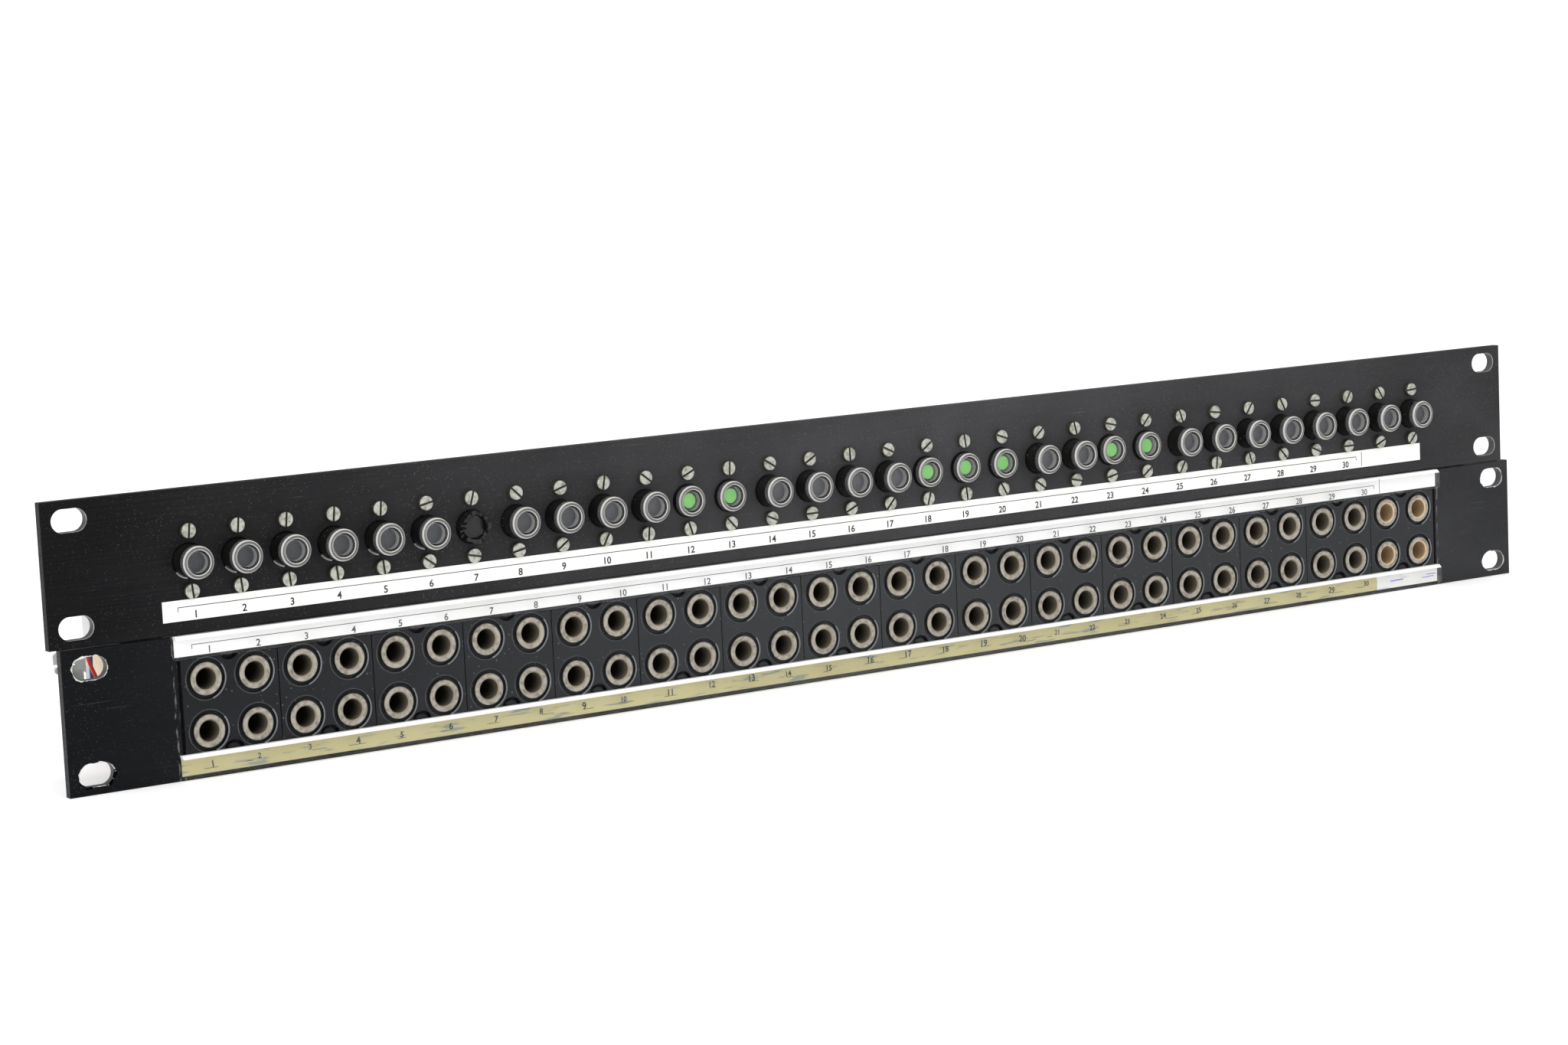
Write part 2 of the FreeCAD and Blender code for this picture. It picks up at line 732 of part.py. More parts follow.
def end_bracket(side):
    """A folded steel bracket that joins the two panels and stands on its lower edge."""
    web = [at(0, panel_back, panel_bottom), at(0, bracket_depth, panel_bottom),
           at(0, bracket_depth, bracket_top - 3 * bracket_corner),
           at(0, bracket_depth - 3 * bracket_corner, bracket_top), at(0, panel_back, bracket_top)]
    plate = extruded(web, X * bracket_sheet)
    plate.translate(at(bracket_position, 0, 0))
    flange = block(bracket_position, bracket_outer + bracket_flange_width, panel_back,
                   panel_back + bracket_sheet, panel_bottom + 3, bracket_top)
    bracket = plate.fuse(flange).removeSplitter()
    cuts = [rod(stud_diameter / 2 + 0.25, abs(x), z, 0, panel_back + bracket_sheet + 1)
            for x, z in stud_places() if x > 0]
    cuts.append(Part.makeCylinder(lacing_bar_diameter / 2 + sleeve_gap, 20,
                                  at(bracket_position - 10, lacing_bar_y, lacing_bar_z), X))
    cuts.append(Part.makeCylinder(wire_window_diameter / 2, 20,
                                  at(bracket_position - 10, wire_window_y, wire_window_z), X))
    if side < 0:
        cuts += [crosswise(rivet_diameter / 2 + thread_gap, bracket_position - 1, bracket_outer + 1, y, z)
                 for y, z in rivet_places()]
    bracket = bracket.cut(cuts)
    return bracket if side > 0 else bracket.mirror(at(0, 0, 0), X)


def crosswise(radius, x0, x1, y, z):
    """A cylinder that runs along X."""
    return Part.makeCylinder(radius, x1 - x0, at(x0, y, z), X)


def rivet_places():
    """The Y and Z of the rivets in the left end bracket: the clip's, then the link bracket's."""
    clip_rivet = (clip_start + clip_width / 2 + clip_foot_length / 2 + 1, clip_z)
    return [clip_rivet, (board_start + board_rivet_edge, board_rivet_z), (link_base_end - 6, board_rivet_z)]


def rivet(y, z, sheet):
    """A headed rivet through a sheet on the left end bracket's outer face."""
    head = crosswise(rivet_head_diameter / 2, 0, rivet_head_height, y, z)
    head = bevelled(head, 0.3, lambda edge: edge.BoundBox.XMin > rivet_head_height - 0.01)
    head.translate(at(bracket_outer + sheet, 0, 0))
    tail = crosswise(rivet_head_diameter / 2, bracket_position - rivet_head_height, bracket_position, y, z)
    shank = crosswise(rivet_diameter / 2, bracket_position, bracket_outer + sheet, y, z)
    return head.fuse([shank, tail]).mirror(at(0, 0, 0), X)


def bracket_fasteners():
    """Pressed studs, their nuts, the nuts on the lacing bar's ends and the left bracket's rivets."""
    pieces = []
    for x, z in stud_places():
        pieces.append(rod(stud_diameter / 2, x, z, panel_back, panel_back + stud_length))
        nut_start = panel_back + bracket_sheet
        pieces.append(hexagon(nut_across_flats, x, z, nut_start, nut_start + nut_height,
                              stud_diameter + 2 * thread_gap))
    for side in (-1, 1):
        nut = hexagon(bar_nut_across_flats, 0, 0, 0, bar_nut_height, lacing_bar_diameter + 2 * thread_gap)
        nut.rotate(at(0, 0, 0), Z, -90)
        nut.translate(at(bracket_outer, lacing_bar_y, lacing_bar_z))
        pieces.append(nut if side > 0 else nut.mirror(at(0, 0, 0), X))
    clip_rivet, *board_rivets = rivet_places()
    pieces.append(rivet(*clip_rivet, clip_wall))
    pieces += [rivet(y, z, link_sheet + board_thickness) for y, z in board_rivets]
    return pieces


def lacing_bar():
    """The round bar behind the jacks that cables are tied to."""
    reach = bracket_outer + lacing_bar_overhang
    bar = Part.makeCylinder(lacing_bar_diameter / 2, 2 * reach, at(-reach, lacing_bar_y, lacing_bar_z), X)
    return bevelled(bar, 0.5, lambda edge: edge.BoundBox.XLength < 0.001)


def rivet_holes(sheet):
    """The holes that the link bracket's rivets need in it and in the board on it."""
    reach = bracket_outer + sheet + 1
    return [crosswise(rivet_diameter / 2 + thread_gap, -reach, -bracket_position, y, z)
            for y, z in rivet_places()[1:]]


def link_bracket():
    """A small folded bracket outside the left end bracket, and the black pad behind its slotted wing."""
    outer, back = -bracket_outer, link_front_y + link_sheet
    base = block(outer - link_sheet, outer, link_front_y, link_base_end, link_bottom, link_arm_top)
    outline = [(outer, link_bottom), (-link_edge, link_bottom), (-link_edge, link_ear_bottom),
               (-link_ear, link_ear_bottom), (-link_ear, link_ear_top - 0.8), (-link_ear + 0.8, link_ear_top),
               (-link_edge + 0.3, link_ear_top), (-link_edge + 0.8, link_top_left),
               (-link_inner, link_top_right), (-link_inner, link_arm_top), (outer, link_arm_top)]
    wing = extruded([at(x, link_front_y, z) for x, z in outline], Y * link_sheet)
    wing = wing.fuse(rod(1.0, -link_edge - 1.3, link_top_left - 1.4, link_front_y, back))
    wing = wing.fuse(block(-link_edge - 1.3, -link_edge, link_front_y, back,
                           link_top_left - 1.9, link_top_left - 0.9))
    slot = obround(link_slot_length, link_slot_width, 0, 0, link_front_y - 1, back + 0.5)
    slot.rotate(at(0, 0, 0), Y, 43)
    slot.translate(at(-link_inner - 0.2, 0, link_top_left - 5.2))
    bracket = base.fuse(wing).removeSplitter().cut([slot] + rivet_holes(link_sheet))
    pad = block(-link_edge + 0.3, -link_inner - 0.3, back, back + pad_thickness,
                link_bottom + 2, link_top_left - 0.6)
    return [bracket, pad]


def tag_places():
    """The Z of each tag on the terminal board, from the bottom."""
    pitch = (board_top - board_bottom - 2 * board_tag_edge) / (board_tag_rows - 1)
    return [board_bottom + board_tag_edge + i * pitch for i in range(board_tag_rows)]


def terminal_board():
    """A laminate board on the link bracket's outer face, with turned tags."""
    face = -bracket_outer - link_sheet
    board = block(face - board_thickness, face, board_start, board_end, board_bottom, board_top)
    tags = [crosswise(board_tag_diameter / 2, face - board_thickness - board_tag_length, face - board_thickness,
                      board_start + board_tag_edge, z) for z in tag_places()]
    return [board.cut(rivet_holes(link_sheet + board_thickness))] + tags


def rounded_route(points):
    """A path of straight runs joined by tangent arcs, as large as the shorter run allows."""
    edges, start = [], points[0]
    for before, corner, after in zip(points, points[1:], points[2:]):
        back, ahead = before - corner, after - corner
        shorter = min(back.Length, ahead.Length)
        half_turn = (math.pi - back.getAngle(ahead)) / 2
        setback = 0.45 * shorter
        radius = setback / math.tan(half_turn)
        first = corner + FreeCAD.Vector(back).normalize() * setback
        last = corner + FreeCAD.Vector(ahead).normalize() * setback
        inward = (FreeCAD.Vector(back).normalize() + FreeCAD.Vector(ahead).normalize()).normalize()
        middle = corner + inward * (radius / math.cos(half_turn) - radius)
        edges.append(Part.LineSegment(start, first).toShape())
        edges.append(Part.Arc(first, middle, last).toShape())
        print("wire bend radius %.1f" % radius)
        start = last
    edges.append(Part.LineSegment(start, points[-1]).toShape())
    return Part.Wire(edges)


def wire(points):
    """An insulated wire along a rounded route."""
    path = rounded_route(points)
    start = path.Edges[0]
    direction = start.tangentAt(start.FirstParameter)
    ring = Part.Wire(Part.makeCircle(wire_diameter / 2, points[0], direction))
    return path.makePipeShell([ring], True, True)


def link_wires():
    """Write the red and blue wires from the first switch to the terminal board."""
    pin_x = column_x(1, switch_row_x) - switch_case_width / 2 + switch_case_wall + terminal_gap
    pin_end = case_back + switch_base_thickness + terminal_tail + solder_gap
    tag_x = -bracket_outer - link_sheet - board_thickness - board_tag_length - solder_gap
    tag_y = board_start + board_tag_edge
    window = at(-bracket_outer, wire_window_y, wire_window_z)
    corner = at(-link_inner, link_front_y, link_top_left)
    red = [at(pin_x, pin_end, switch_row_z + terminal_spacing),
           at(pin_x + 1.2, pin_end + 5.8, switch_row_z + terminal_spacing - 1.5),
           window + at(5.6, 0, 12), window + at(3.0, -0.4, 2.5), window + at(-2.3, -1.0, -0.2),
           corner + at(2.7, 10, 4), corner + at(7.0, 3.5, -11.8), at(tag_x, tag_y, tag_places()[1])]
    blue = [at(pin_x, pin_end, switch_row_z), at(pin_x - 0.9, pin_end + 8.6, switch_row_z - 2),
            window + at(3.4, 3, 10), window + at(2.8, 1.6, 1.5), window + at(-2.3, 0.8, -2.4),
            corner + at(6.6, 12.5, 3.1), corner + at(4.4, 7, -12.8), at(tag_x, tag_y, tag_places()[0])]
    save("red_wire", [wire(red)])
    save("blue_wire", [wire(blue)])


def cable_clip():
    """A nylon clip on the left end bracket: a ring on a strap, with a riveted foot."""
    end = clip_start + clip_width
    ring = tube(clip_radius, clip_radius - clip_wall, -clip_x, clip_z, clip_start, end)
    strap_y = clip_start + clip_width / 2
    half = clip_width / 2 - 0.5
    strap = block(-clip_x + clip_radius - clip_wall / 2, -bracket_outer, strap_y, strap_y + clip_wall,
                  clip_z - half, clip_z + half)
    foot = block(-bracket_outer - clip_wall, -bracket_outer, strap_y, strap_y + clip_foot_length + 1,
                 clip_z - half, clip_z + half)
    y, z = rivet_places()[0]
    hole = crosswise(rivet_diameter / 2 + thread_gap, -bracket_outer - clip_wall - 1, -bracket_position, y, z)
    return ring.fuse([strap, foot]).removeSplitter().cut(hole)


os.makedirs("parts", exist_ok=True)
save("upper_panel", [upper_panel()])
save("lower_panel", [lower_panel()])
switches()
save("upper_label_strip", [label_strip()])
jacks()
designation_strips()
save("end_brackets", [end_bracket(-1), end_bracket(1)])
save("bracket_fasteners", bracket_fasteners())
save("lacing_bar", [lacing_bar()])
save("link_bracket", link_bracket())
save("terminal_board", terminal_board())
link_wires()
save("cable_clip", [cable_clip()])
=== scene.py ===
"""The looks of a rack patch bay: a panel of lensed push buttons above a panel of plug jacks.

Everything is in metres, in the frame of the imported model: +X to the right, +Y into the rack, +Z up.
"""

import json
import logging
import math
import random
from dataclasses import dataclass, field
from enum import Enum
from typing import Any, Callable, Iterable, Sequence

import bpy
from mathutils import Matrix, Vector


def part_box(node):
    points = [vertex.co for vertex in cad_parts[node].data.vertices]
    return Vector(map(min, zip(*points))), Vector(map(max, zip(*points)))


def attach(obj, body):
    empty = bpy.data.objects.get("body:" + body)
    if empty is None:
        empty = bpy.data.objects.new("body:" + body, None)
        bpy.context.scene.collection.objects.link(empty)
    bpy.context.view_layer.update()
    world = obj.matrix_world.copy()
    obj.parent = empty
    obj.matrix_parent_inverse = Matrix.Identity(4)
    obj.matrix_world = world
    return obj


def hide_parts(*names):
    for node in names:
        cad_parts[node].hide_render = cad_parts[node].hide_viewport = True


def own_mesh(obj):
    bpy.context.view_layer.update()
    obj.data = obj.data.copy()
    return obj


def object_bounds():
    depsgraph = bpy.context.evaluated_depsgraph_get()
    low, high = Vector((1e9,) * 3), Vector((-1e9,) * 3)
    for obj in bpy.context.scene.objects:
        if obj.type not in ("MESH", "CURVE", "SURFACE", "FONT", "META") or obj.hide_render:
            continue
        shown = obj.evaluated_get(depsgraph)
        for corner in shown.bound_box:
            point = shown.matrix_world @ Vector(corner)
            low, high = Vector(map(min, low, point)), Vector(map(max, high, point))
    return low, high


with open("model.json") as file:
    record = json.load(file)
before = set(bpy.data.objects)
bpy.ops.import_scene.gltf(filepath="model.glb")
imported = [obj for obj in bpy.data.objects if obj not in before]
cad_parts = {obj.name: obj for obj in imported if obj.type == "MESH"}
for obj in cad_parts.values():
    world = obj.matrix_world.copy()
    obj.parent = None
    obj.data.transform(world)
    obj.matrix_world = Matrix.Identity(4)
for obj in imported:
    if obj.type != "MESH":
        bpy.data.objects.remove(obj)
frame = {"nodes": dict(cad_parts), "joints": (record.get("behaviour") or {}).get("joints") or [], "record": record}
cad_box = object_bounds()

LOG = logging.getLogger("patch_bay")
MM = 0.001
ROOT = "frame"
# Where the film along the rack starts, is thickest and ends: dust on the panels and housings, a painted reflection
# on the button diaphragms.
DUST_AND_REFLECTION_START, DUST_AND_REFLECTION_MOST, DUST_AND_REFLECTION_END = -280.0 * MM, -20.0 * MM, 290.0 * MM
DUST_AND_REFLECTION_AT_END = 0.65
Colour = tuple[float, float, float]
Point = tuple[float, float, float]


# ---------------------------------------------------------------- materials

class Paint:
    """A material being mixed: its tree, its shader and short ways to add what feeds the shader."""

    def __init__(self, name: str) -> None:
        """Start a material of that name."""
        self.material = bpy.data.materials.new(name)
        self.material.use_nodes = True
        self.tree = self.material.node_tree
        self.shader = self.tree.nodes["Principled BSDF"]
        self.place = self.add("ShaderNodeTexCoord").outputs["Object"]

    def add(self, kind: str, **settings: Any) -> Any:
        """Add a node and set its properties.

        Args:
            kind: the node's type.
            **settings: its properties and their values.

        Returns:
            The node.
        """
        node = self.tree.nodes.new(kind)
        for key, value in settings.items():
            setattr(node, key, value)
        return node

    def feed(self, socket: Any, value: Any) -> None:
        """Link a socket to another, or set it to a plain value."""
        if isinstance(value, bpy.types.NodeSocket):
            self.tree.links.new(value, socket)
        elif isinstance(value, tuple) and len(value) == 3 and socket.type == "RGBA":
            socket.default_value = (*value, 1.0)
        else:
            socket.default_value = value

    def put(self, **values: Any) -> None:
        """Feed the shader's sockets. A name's underscores stand for spaces."""
        for key, value in values.items():
            self.feed(self.shader.inputs[key.replace("_", " ")], value)

    def calc(self, operation: str, first: Any, second: Any = 0.0) -> Any:
        """One step of arithmetic.

        Args:
            operation: which step, such as ADD.
            first: a socket or a number.
            second: a socket or a number.

        Returns:
            The socket of the result.
        """
        node = self.add("ShaderNodeMath", operation=operation)
        self.feed(node.inputs[0], first)
        self.feed(node.inputs[1], second)
        return node.outputs[0]

    def hypotenuse(self, across: Any, up: Any) -> Any:
        """The distance that two sides at a right angle make."""
        squares = self.calc("ADD", self.calc("POWER", across, 2.0), self.calc("POWER", up, 2.0))
        return self.calc("SQRT", squares)

    def within(self, value: Any, low: float, high: float, start: float = 0.0, end: float = 1.0) -> Any:
        """Map a value from one range to another, held at its ends.

        Args:
            value: a socket or a number.
            low: the first range's low end.
            high: the first range's high end.
            start: what low becomes.
            end: what high becomes.

        Returns:
            The socket of the result.
        """
        node = self.add("ShaderNodeMapRange")
        for socket, number in zip(node.inputs, (value, low, high, start, end)):
            self.feed(socket, number)
        return node.outputs[0]

    def blend(self, share: Any, first: Any, second: Any) -> Any:
        """Mix two colours by a share of the second.

        Args:
            share: how much of the second, from 0 to 1.
            first: a colour or a socket.
            second: a colour or a socket.

        Returns:
            The socket of the mixed colour.
        """
        node = self.add("ShaderNodeMix", data_type="RGBA")
        self.feed(node.inputs[0], share)
        self.feed(node.inputs[6], first)
        self.feed(node.inputs[7], second)
        return node.outputs[2]

    def stretched(self, stretch: Point) -> Any:
        """Object coordinates, scaled apart along each axis.

        Args:
            stretch: the scale along X, Y and Z.

        Returns:
            The socket of the scaled coordinates.
        """
        node = self.add("ShaderNodeMapping")
        node.inputs["Scale"].default_value = stretch
        self.feed(node.inputs["Vector"], self.place)
        return node.outputs[0]

    def noise(self, scale: float, detail: float = 3.0, stretch: Point = (1, 1, 1)) -> Any:
        """Cloudy noise.

        Args:
            scale: how fine the clouds are.
            detail: how many finer layers they have.
            stretch: the scale along X, Y and Z.

        Returns:
            The socket of the noise, from 0 to 1.
        """
        node = self.add("ShaderNodeTexNoise")
        self.feed(node.inputs["Vector"], self.stretched(stretch))
        node.inputs["Scale"].default_value = scale
        node.inputs["Detail"].default_value = detail
        return node.outputs["Fac"]

    def specks(self, scale: float, size: float, stretch: Point = (1, 1, 1)) -> Any:
        """Small round specks, one in some cells of a grid.

        Args:
            scale: how many cells there are in a metre.
            size: the largest speck, as a share of a cell.
            stretch: the scale along X, Y and Z.

        Returns:
            The socket of the specks, 1 inside one.
        """
        node = self.add("ShaderNodeTexVoronoi")
        self.feed(node.inputs["Vector"], self.stretched(stretch))
        node.inputs["Scale"].default_value = scale
        lottery = self.add("ShaderNodeSeparateColor")
        self.feed(lottery.inputs[0], node.outputs["Color"])
        limit = self.calc("MULTIPLY", lottery.outputs[0], size)
        return self.within(self.calc("SUBTRACT", limit, node.outputs["Distance"]), 0.0, size * 0.25)

    def axes(self) -> tuple[Any, Any, Any]:
        """The X, Y and Z of object coordinates.

        Returns:
            Three sockets.
        """
        node = self.add("ShaderNodeSeparateXYZ")
        self.feed(node.inputs[0], self.place)
        return node.outputs[0], node.outputs[1], node.outputs[2]

    def dust_and_reflection_film(self, most: float) -> Any:
        """A film along the rack: none at the left end, most in the middle, less at the right end. It is dust on
        the panels and the jack housings, and a painted reflection on the button diaphragms.

        Args:
            most: the film's share where it is thickest.

        Returns:
            The socket of its share.
        """
        x = self.axes()[0]
        rise = self.within(x, DUST_AND_REFLECTION_START, DUST_AND_REFLECTION_MOST, 0.0, most)
        return self.calc("MULTIPLY", rise, self.within(x, 0.0, DUST_AND_REFLECTION_END, 1.0, DUST_AND_REFLECTION_AT_END))

    def bump(self, height: Any, distance: float) -> None:
        """Raise the surface by a height map, to a real distance.

        Args:
            height: the socket of the height map.
            distance: how high 1 is, in metres.
        """
        node = self.add("ShaderNodeBump")
        node.inputs["Distance"].default_value = distance
        self.feed(node.inputs["Height"], height)
        self.feed(self.shader.inputs["Normal"], node.outputs[0])


@dataclass(frozen=True)
class BlackPanel:
    """Black finish on a rack panel: brushed streaks, dust and scratches, bare metal at the slots' rims."""

    name: str
    dark: Colour
    light: Colour
    streak: float
    dust: float
    roughness: float
    middle: tuple[float, float]
    chipped: float
    gloss: float = 0.10
    haze: float = 0.36
    haze_colour: Colour = (0.115, 0.115, 0.12)
    wall_bare: float = 0.15
    slot_x: float = 283.35 * MM
    slot_z: float = 15.875 * MM
    slot_half_run: float = 2.0 * MM
    slot_radius: float = 3.5 * MM
    residue: tuple[float, ...] = ()
    residue_width: float = 0.4 * MM
    residue_top: float = 21.9 * MM
    bare: Colour = (0.62, 0.62, 0.6)
    dust_colour: Colour = (0.30, 0.29, 0.27)

    def slot_rims(self, paint: Paint) -> Any:
        """Where the finish has chipped from the slots' rims.

        Args:
            paint: the material being mixed.

        Returns:
            The socket of the mask.
        """
        x, _, z = paint.axes()
        across = paint.calc("ABSOLUTE", paint.calc("SUBTRACT", x, self.middle[0]))
        along = paint.calc("ABSOLUTE", paint.calc("SUBTRACT", across, self.slot_x))
        along = paint.calc("MAXIMUM", paint.calc("SUBTRACT", along, self.slot_half_run), 0.0)
        up = paint.calc("ABSOLUTE", paint.calc("SUBTRACT", z, self.middle[1]))
        up = paint.calc("SUBTRACT", up, self.slot_z)
        reach = paint.hypotenuse(along, up)
        patchy = paint.within(paint.noise(420.0, 4.0), 0.42, 0.68, 0.0, self.chipped)
        edge = paint.calc("ADD", patchy, self.slot_radius + 0.03 * MM)
        near = paint.within(paint.calc("SUBTRACT", edge, reach), -0.02 * MM, 0.04 * MM)
        _, y, _ = paint.axes()
        return paint.calc("MULTIPLY", near, paint.within(y, 0.1 * MM, 0.35 * MM, 1.0, self.wall_bare))

    def tape_residue(self, paint: Paint) -> Any:
        """Dirty glue in a thin upright line at each of the given places.

        Args:
            paint: the material being mixed.

        Returns:
            The socket of the mask.
        """
        x, _, z = paint.axes()
        ragged = paint.calc("MULTIPLY", paint.calc("SUBTRACT", paint.noise(260.0, 4.0), 0.5), 1.6 * MM)
        patchy = paint.within(paint.noise(900.0, 3.0, (1.0, 1.0, 0.4)), 0.44, 0.6)
        total = 0.0
        for place in self.residue:
            near = paint.calc("ABSOLUTE", paint.calc("ADD", paint.calc("SUBTRACT", x, place), ragged))
            total = paint.calc("MAXIMUM", total, paint.within(near, self.residue_width, 0.0, 0.0, 0.55))
        low = paint.calc("LESS_THAN", z, self.residue_top)
        return paint.calc("MULTIPLY", paint.calc("MULTIPLY", total, patchy), low)

    def mix(self) -> Any:
        """Mix the material.

        Returns:
            The mixed material.
        """
        paint = Paint(self.name)
        streaks = paint.noise(1.0, 6.0, (14.0, 60.0, 1500.0))
        clouds = paint.noise(22.0, 4.0, (1.0, 1.0, 1.8))
        share = paint.calc("MULTIPLY", paint.within(streaks, 0.36, 0.7), self.streak)
        share = paint.calc("ADD", share, paint.within(clouds, 0.45, 0.8, 0.0, 0.35))
        colour = paint.blend(share, self.dark, self.light)
        uneven = paint.within(clouds, 0.3, 0.7, 0.75, 1.2)
        haze = paint.calc("MULTIPLY", paint.dust_and_reflection_film(self.haze), uneven)
        colour = paint.blend(haze, colour, self.haze_colour)
        dusty = paint.within(paint.noise(16.0, 5.0), 0.4, 0.7, 0.25, 1.0)
        fine = paint.calc("MULTIPLY", paint.specks(1500.0, 0.3), dusty)
        coarse = paint.specks(420.0, 0.07)
        dust = paint.calc("MULTIPLY", paint.calc("MAXIMUM", fine, coarse), self.dust)
        colour = paint.blend(dust, colour, self.dust_colour)
        scratches = paint.within(paint.noise(1.0, 2.0, (30.0, 60.0, 2600.0)), 0.71, 0.76, 0.0, 0.30)
        colour = paint.blend(scratches, colour, (0.2, 0.2, 0.2))
        rims = self.slot_rims(paint)
        residue = self.tape_residue(paint)
        colour = paint.blend(residue, colour, self.dust_colour)
        rough = paint.within(streaks, 0.3, 0.7, self.roughness - 0.06, self.roughness + 0.1)
        paint.put(
            Base_Color=paint.blend(rims, colour, self.bare),
            Metallic=paint.calc("MULTIPLY", rims, 0.7),
            Roughness=paint.calc("ADD", rough, paint.calc("MULTIPLY", dust, 0.3)),
            Specular_IOR_Level=self.gloss,
        )
        paint.bump(paint.calc("ADD", paint.calc("MULTIPLY", streaks, self.streak), dust), 0.03 * MM)
        return paint.material


@dataclass(frozen=True)
class Moulding:
    """A moulded plastic or rubber with a fine grain, a slow change of tone and some dust. Its haze is dust on the
    jack housings and a painted reflection on the diaphragm.
    """

    name: str
    colour: Colour
    tone: Colour
    roughness: float
    grain: float = 0.02
    grain_scale: float = 2200.0
    dust: float = 0.0
    gloss: float = 0.35
    haze: float = 0.0
    haze_colour: Colour = (0.10, 0.105, 0.11)
    seam_pitch: float = 0.0
    seam_at: float = -1.0 * MM
    seam_half: float = 0.14 * MM
    dust_colour: Colour = (0.35, 0.34, 0.31)

    def seams(self, paint: Paint) -> Any:
        """One away from the joints between modules and zero at them.

        Args:
            paint: the material being mixed.

        Returns:
            The socket of the mask.
        """
        from_seam = paint.calc("ADD", paint.axes()[0], self.seam_pitch / 2 - self.seam_at)
        x = paint.calc("FLOORED_MODULO", from_seam, self.seam_pitch)
        off = paint.calc("ABSOLUTE", paint.calc("SUBTRACT", x, self.seam_pitch / 2))
        return paint.within(off, self.seam_half * 0.7, self.seam_half)

    def mix(self) -> Any:
        """Mix the material.

        Returns:
            The mixed material.
        """
        paint = Paint(self.name)
        clouds = paint.noise(120.0, 5.0)
        grain = paint.noise(self.grain_scale, 2.0)
        colour = paint.blend(paint.within(clouds, 0.35, 0.68), self.colour, self.tone)
        dust = paint.calc("MULTIPLY", paint.specks(620.0, 0.2), self.dust)
        gloss = self.gloss
        # For the diaphragm this film is a painted reflection that lightens the discs along the rack; for the jack
        # housings it is dust.
        if self.haze:
            colour = paint.blend(paint.dust_and_reflection_film(self.haze), colour, self.haze_colour)
        colour = paint.blend(dust, colour, self.dust_colour)
        if self.seam_pitch:
            away = self.seams(paint)
            colour = paint.blend(away, (0.0, 0.0, 0.0), colour)
            gloss = paint.calc("MULTIPLY", away, self.gloss)
        paint.put(
            Base_Color=colour,
            Roughness=paint.within(clouds, 0.3, 0.7, self.roughness - 0.05, self.roughness + 0.08),
            Specular_IOR_Level=gloss,
        )
        paint.bump(grain, self.grain * MM)
        return paint.material


@dataclass(frozen=True)
class Plated:
    """A plated or bare metal with tarnish in patches and fine tooling lines."""

    name: str
    colour: Colour
    tarnish: Colour
    roughness: float
    metallic: float = 1.0
    patch_scale: float = 500.0
    lines: Point = (1.0, 1.0, 1.0)
    relief: float = 0.015

    def mix(self) -> Any:
        """Mix the material.

        Returns:
            The mixed material.
        """
        paint = Paint(self.name)
        patches = paint.noise(self.patch_scale, 4.0)
        tooling = paint.noise(1400.0, 2.0, self.lines)
        paint.put(
            Base_Color=paint.blend(paint.within(patches, 0.42, 0.7), self.colour, self.tarnish),
            Roughness=paint.within(patches, 0.3, 0.7, self.roughness - 0.07, self.roughness + 0.14),
            Metallic=self.metallic,
        )
        paint.bump(tooling, self.relief * MM)
        return paint.material


@dataclass(frozen=True)
class SleeveMetal:
    """Nickel on the jack sleeves: bright front ring, painted shade in the bore (lighter brown at its mouth, dark
    deeper in), brassy bores in the last module.
    """

    name: str
    ring: Colour
    # The bore colour is painted shade deep in the bore; the mouth colour is where that shade is lightest.
    bore: Colour
    brassy: Colour
    brassy_from: float
    front: float
    pitch: float = 15.875 * MM
    first_x: float = -247.0625 * MM
    middle_z: float = 0.15 * MM
    row_z: float = 7.9375 * MM
    ring_inside: float = 4.3 * MM
    ring_edge: float = 3.74 * MM
    # How deep the painted shade in the bore takes to go from its mouth colour to the dark bore colour.
    bore_shade_depth: float = 7.0 * MM
    lit_bore_mouth: Colour = (0.30, 0.26, 0.20)
    tarnish: Colour = (0.17, 0.15, 0.12)

    def mix(self) -> Any:
        """Mix the material.

        Returns:
            The mixed material.
        """
        paint = Paint(self.name)
        x, y, z = paint.axes()
        along = paint.calc("ADD", paint.calc("SUBTRACT", x, self.first_x), self.pitch / 2)
        along = paint.calc("SUBTRACT", paint.calc("FLOORED_MODULO", along, self.pitch), self.pitch / 2)
        up = paint.calc("ABSOLUTE", paint.calc("SUBTRACT", z, self.middle_z))
        up = paint.calc("SUBTRACT", up, self.row_z)
        radius = paint.hypotenuse(along, up)
        inside = paint.calc("LESS_THAN", radius, self.ring_inside)
        # Inside the ring, flare included, the sleeve takes the bore's painted shade, which darkens with depth.
        deep = paint.calc("MULTIPLY", inside, paint.within(y, self.front, self.front + 0.05 * MM))
        deep = paint.calc("MAXIMUM", deep, paint.calc("LESS_THAN", radius, self.ring_edge))
        painted_bore_shade = paint.within(y, self.front + 0.3 * MM, self.front + self.bore_shade_depth)
        patches = paint.noise(700.0, 5.0)
        last = paint.within(x, self.brassy_from, self.brassy_from + 0.1 * MM)
        bore = paint.blend(last, paint.blend(painted_bore_shade, self.lit_bore_mouth, self.bore), self.brassy)
        ring = paint.blend(paint.within(patches, 0.45, 0.72, 0.0, 0.8), self.ring, self.tarnish)
        turned_lines = paint.noise(2600.0, 1.0, (1.0, 0.05, 1.0))
        paint.put(
            Base_Color=paint.blend(deep, ring, bore),
            Metallic=paint.within(deep, 0.0, 1.0, 1.0, 0.45),
            Roughness=paint.within(patches, 0.3, 0.7, 0.30, 0.46),
        )
        paint.bump(paint.calc("ADD", turned_lines, patches), 0.02 * MM)
        return paint.material


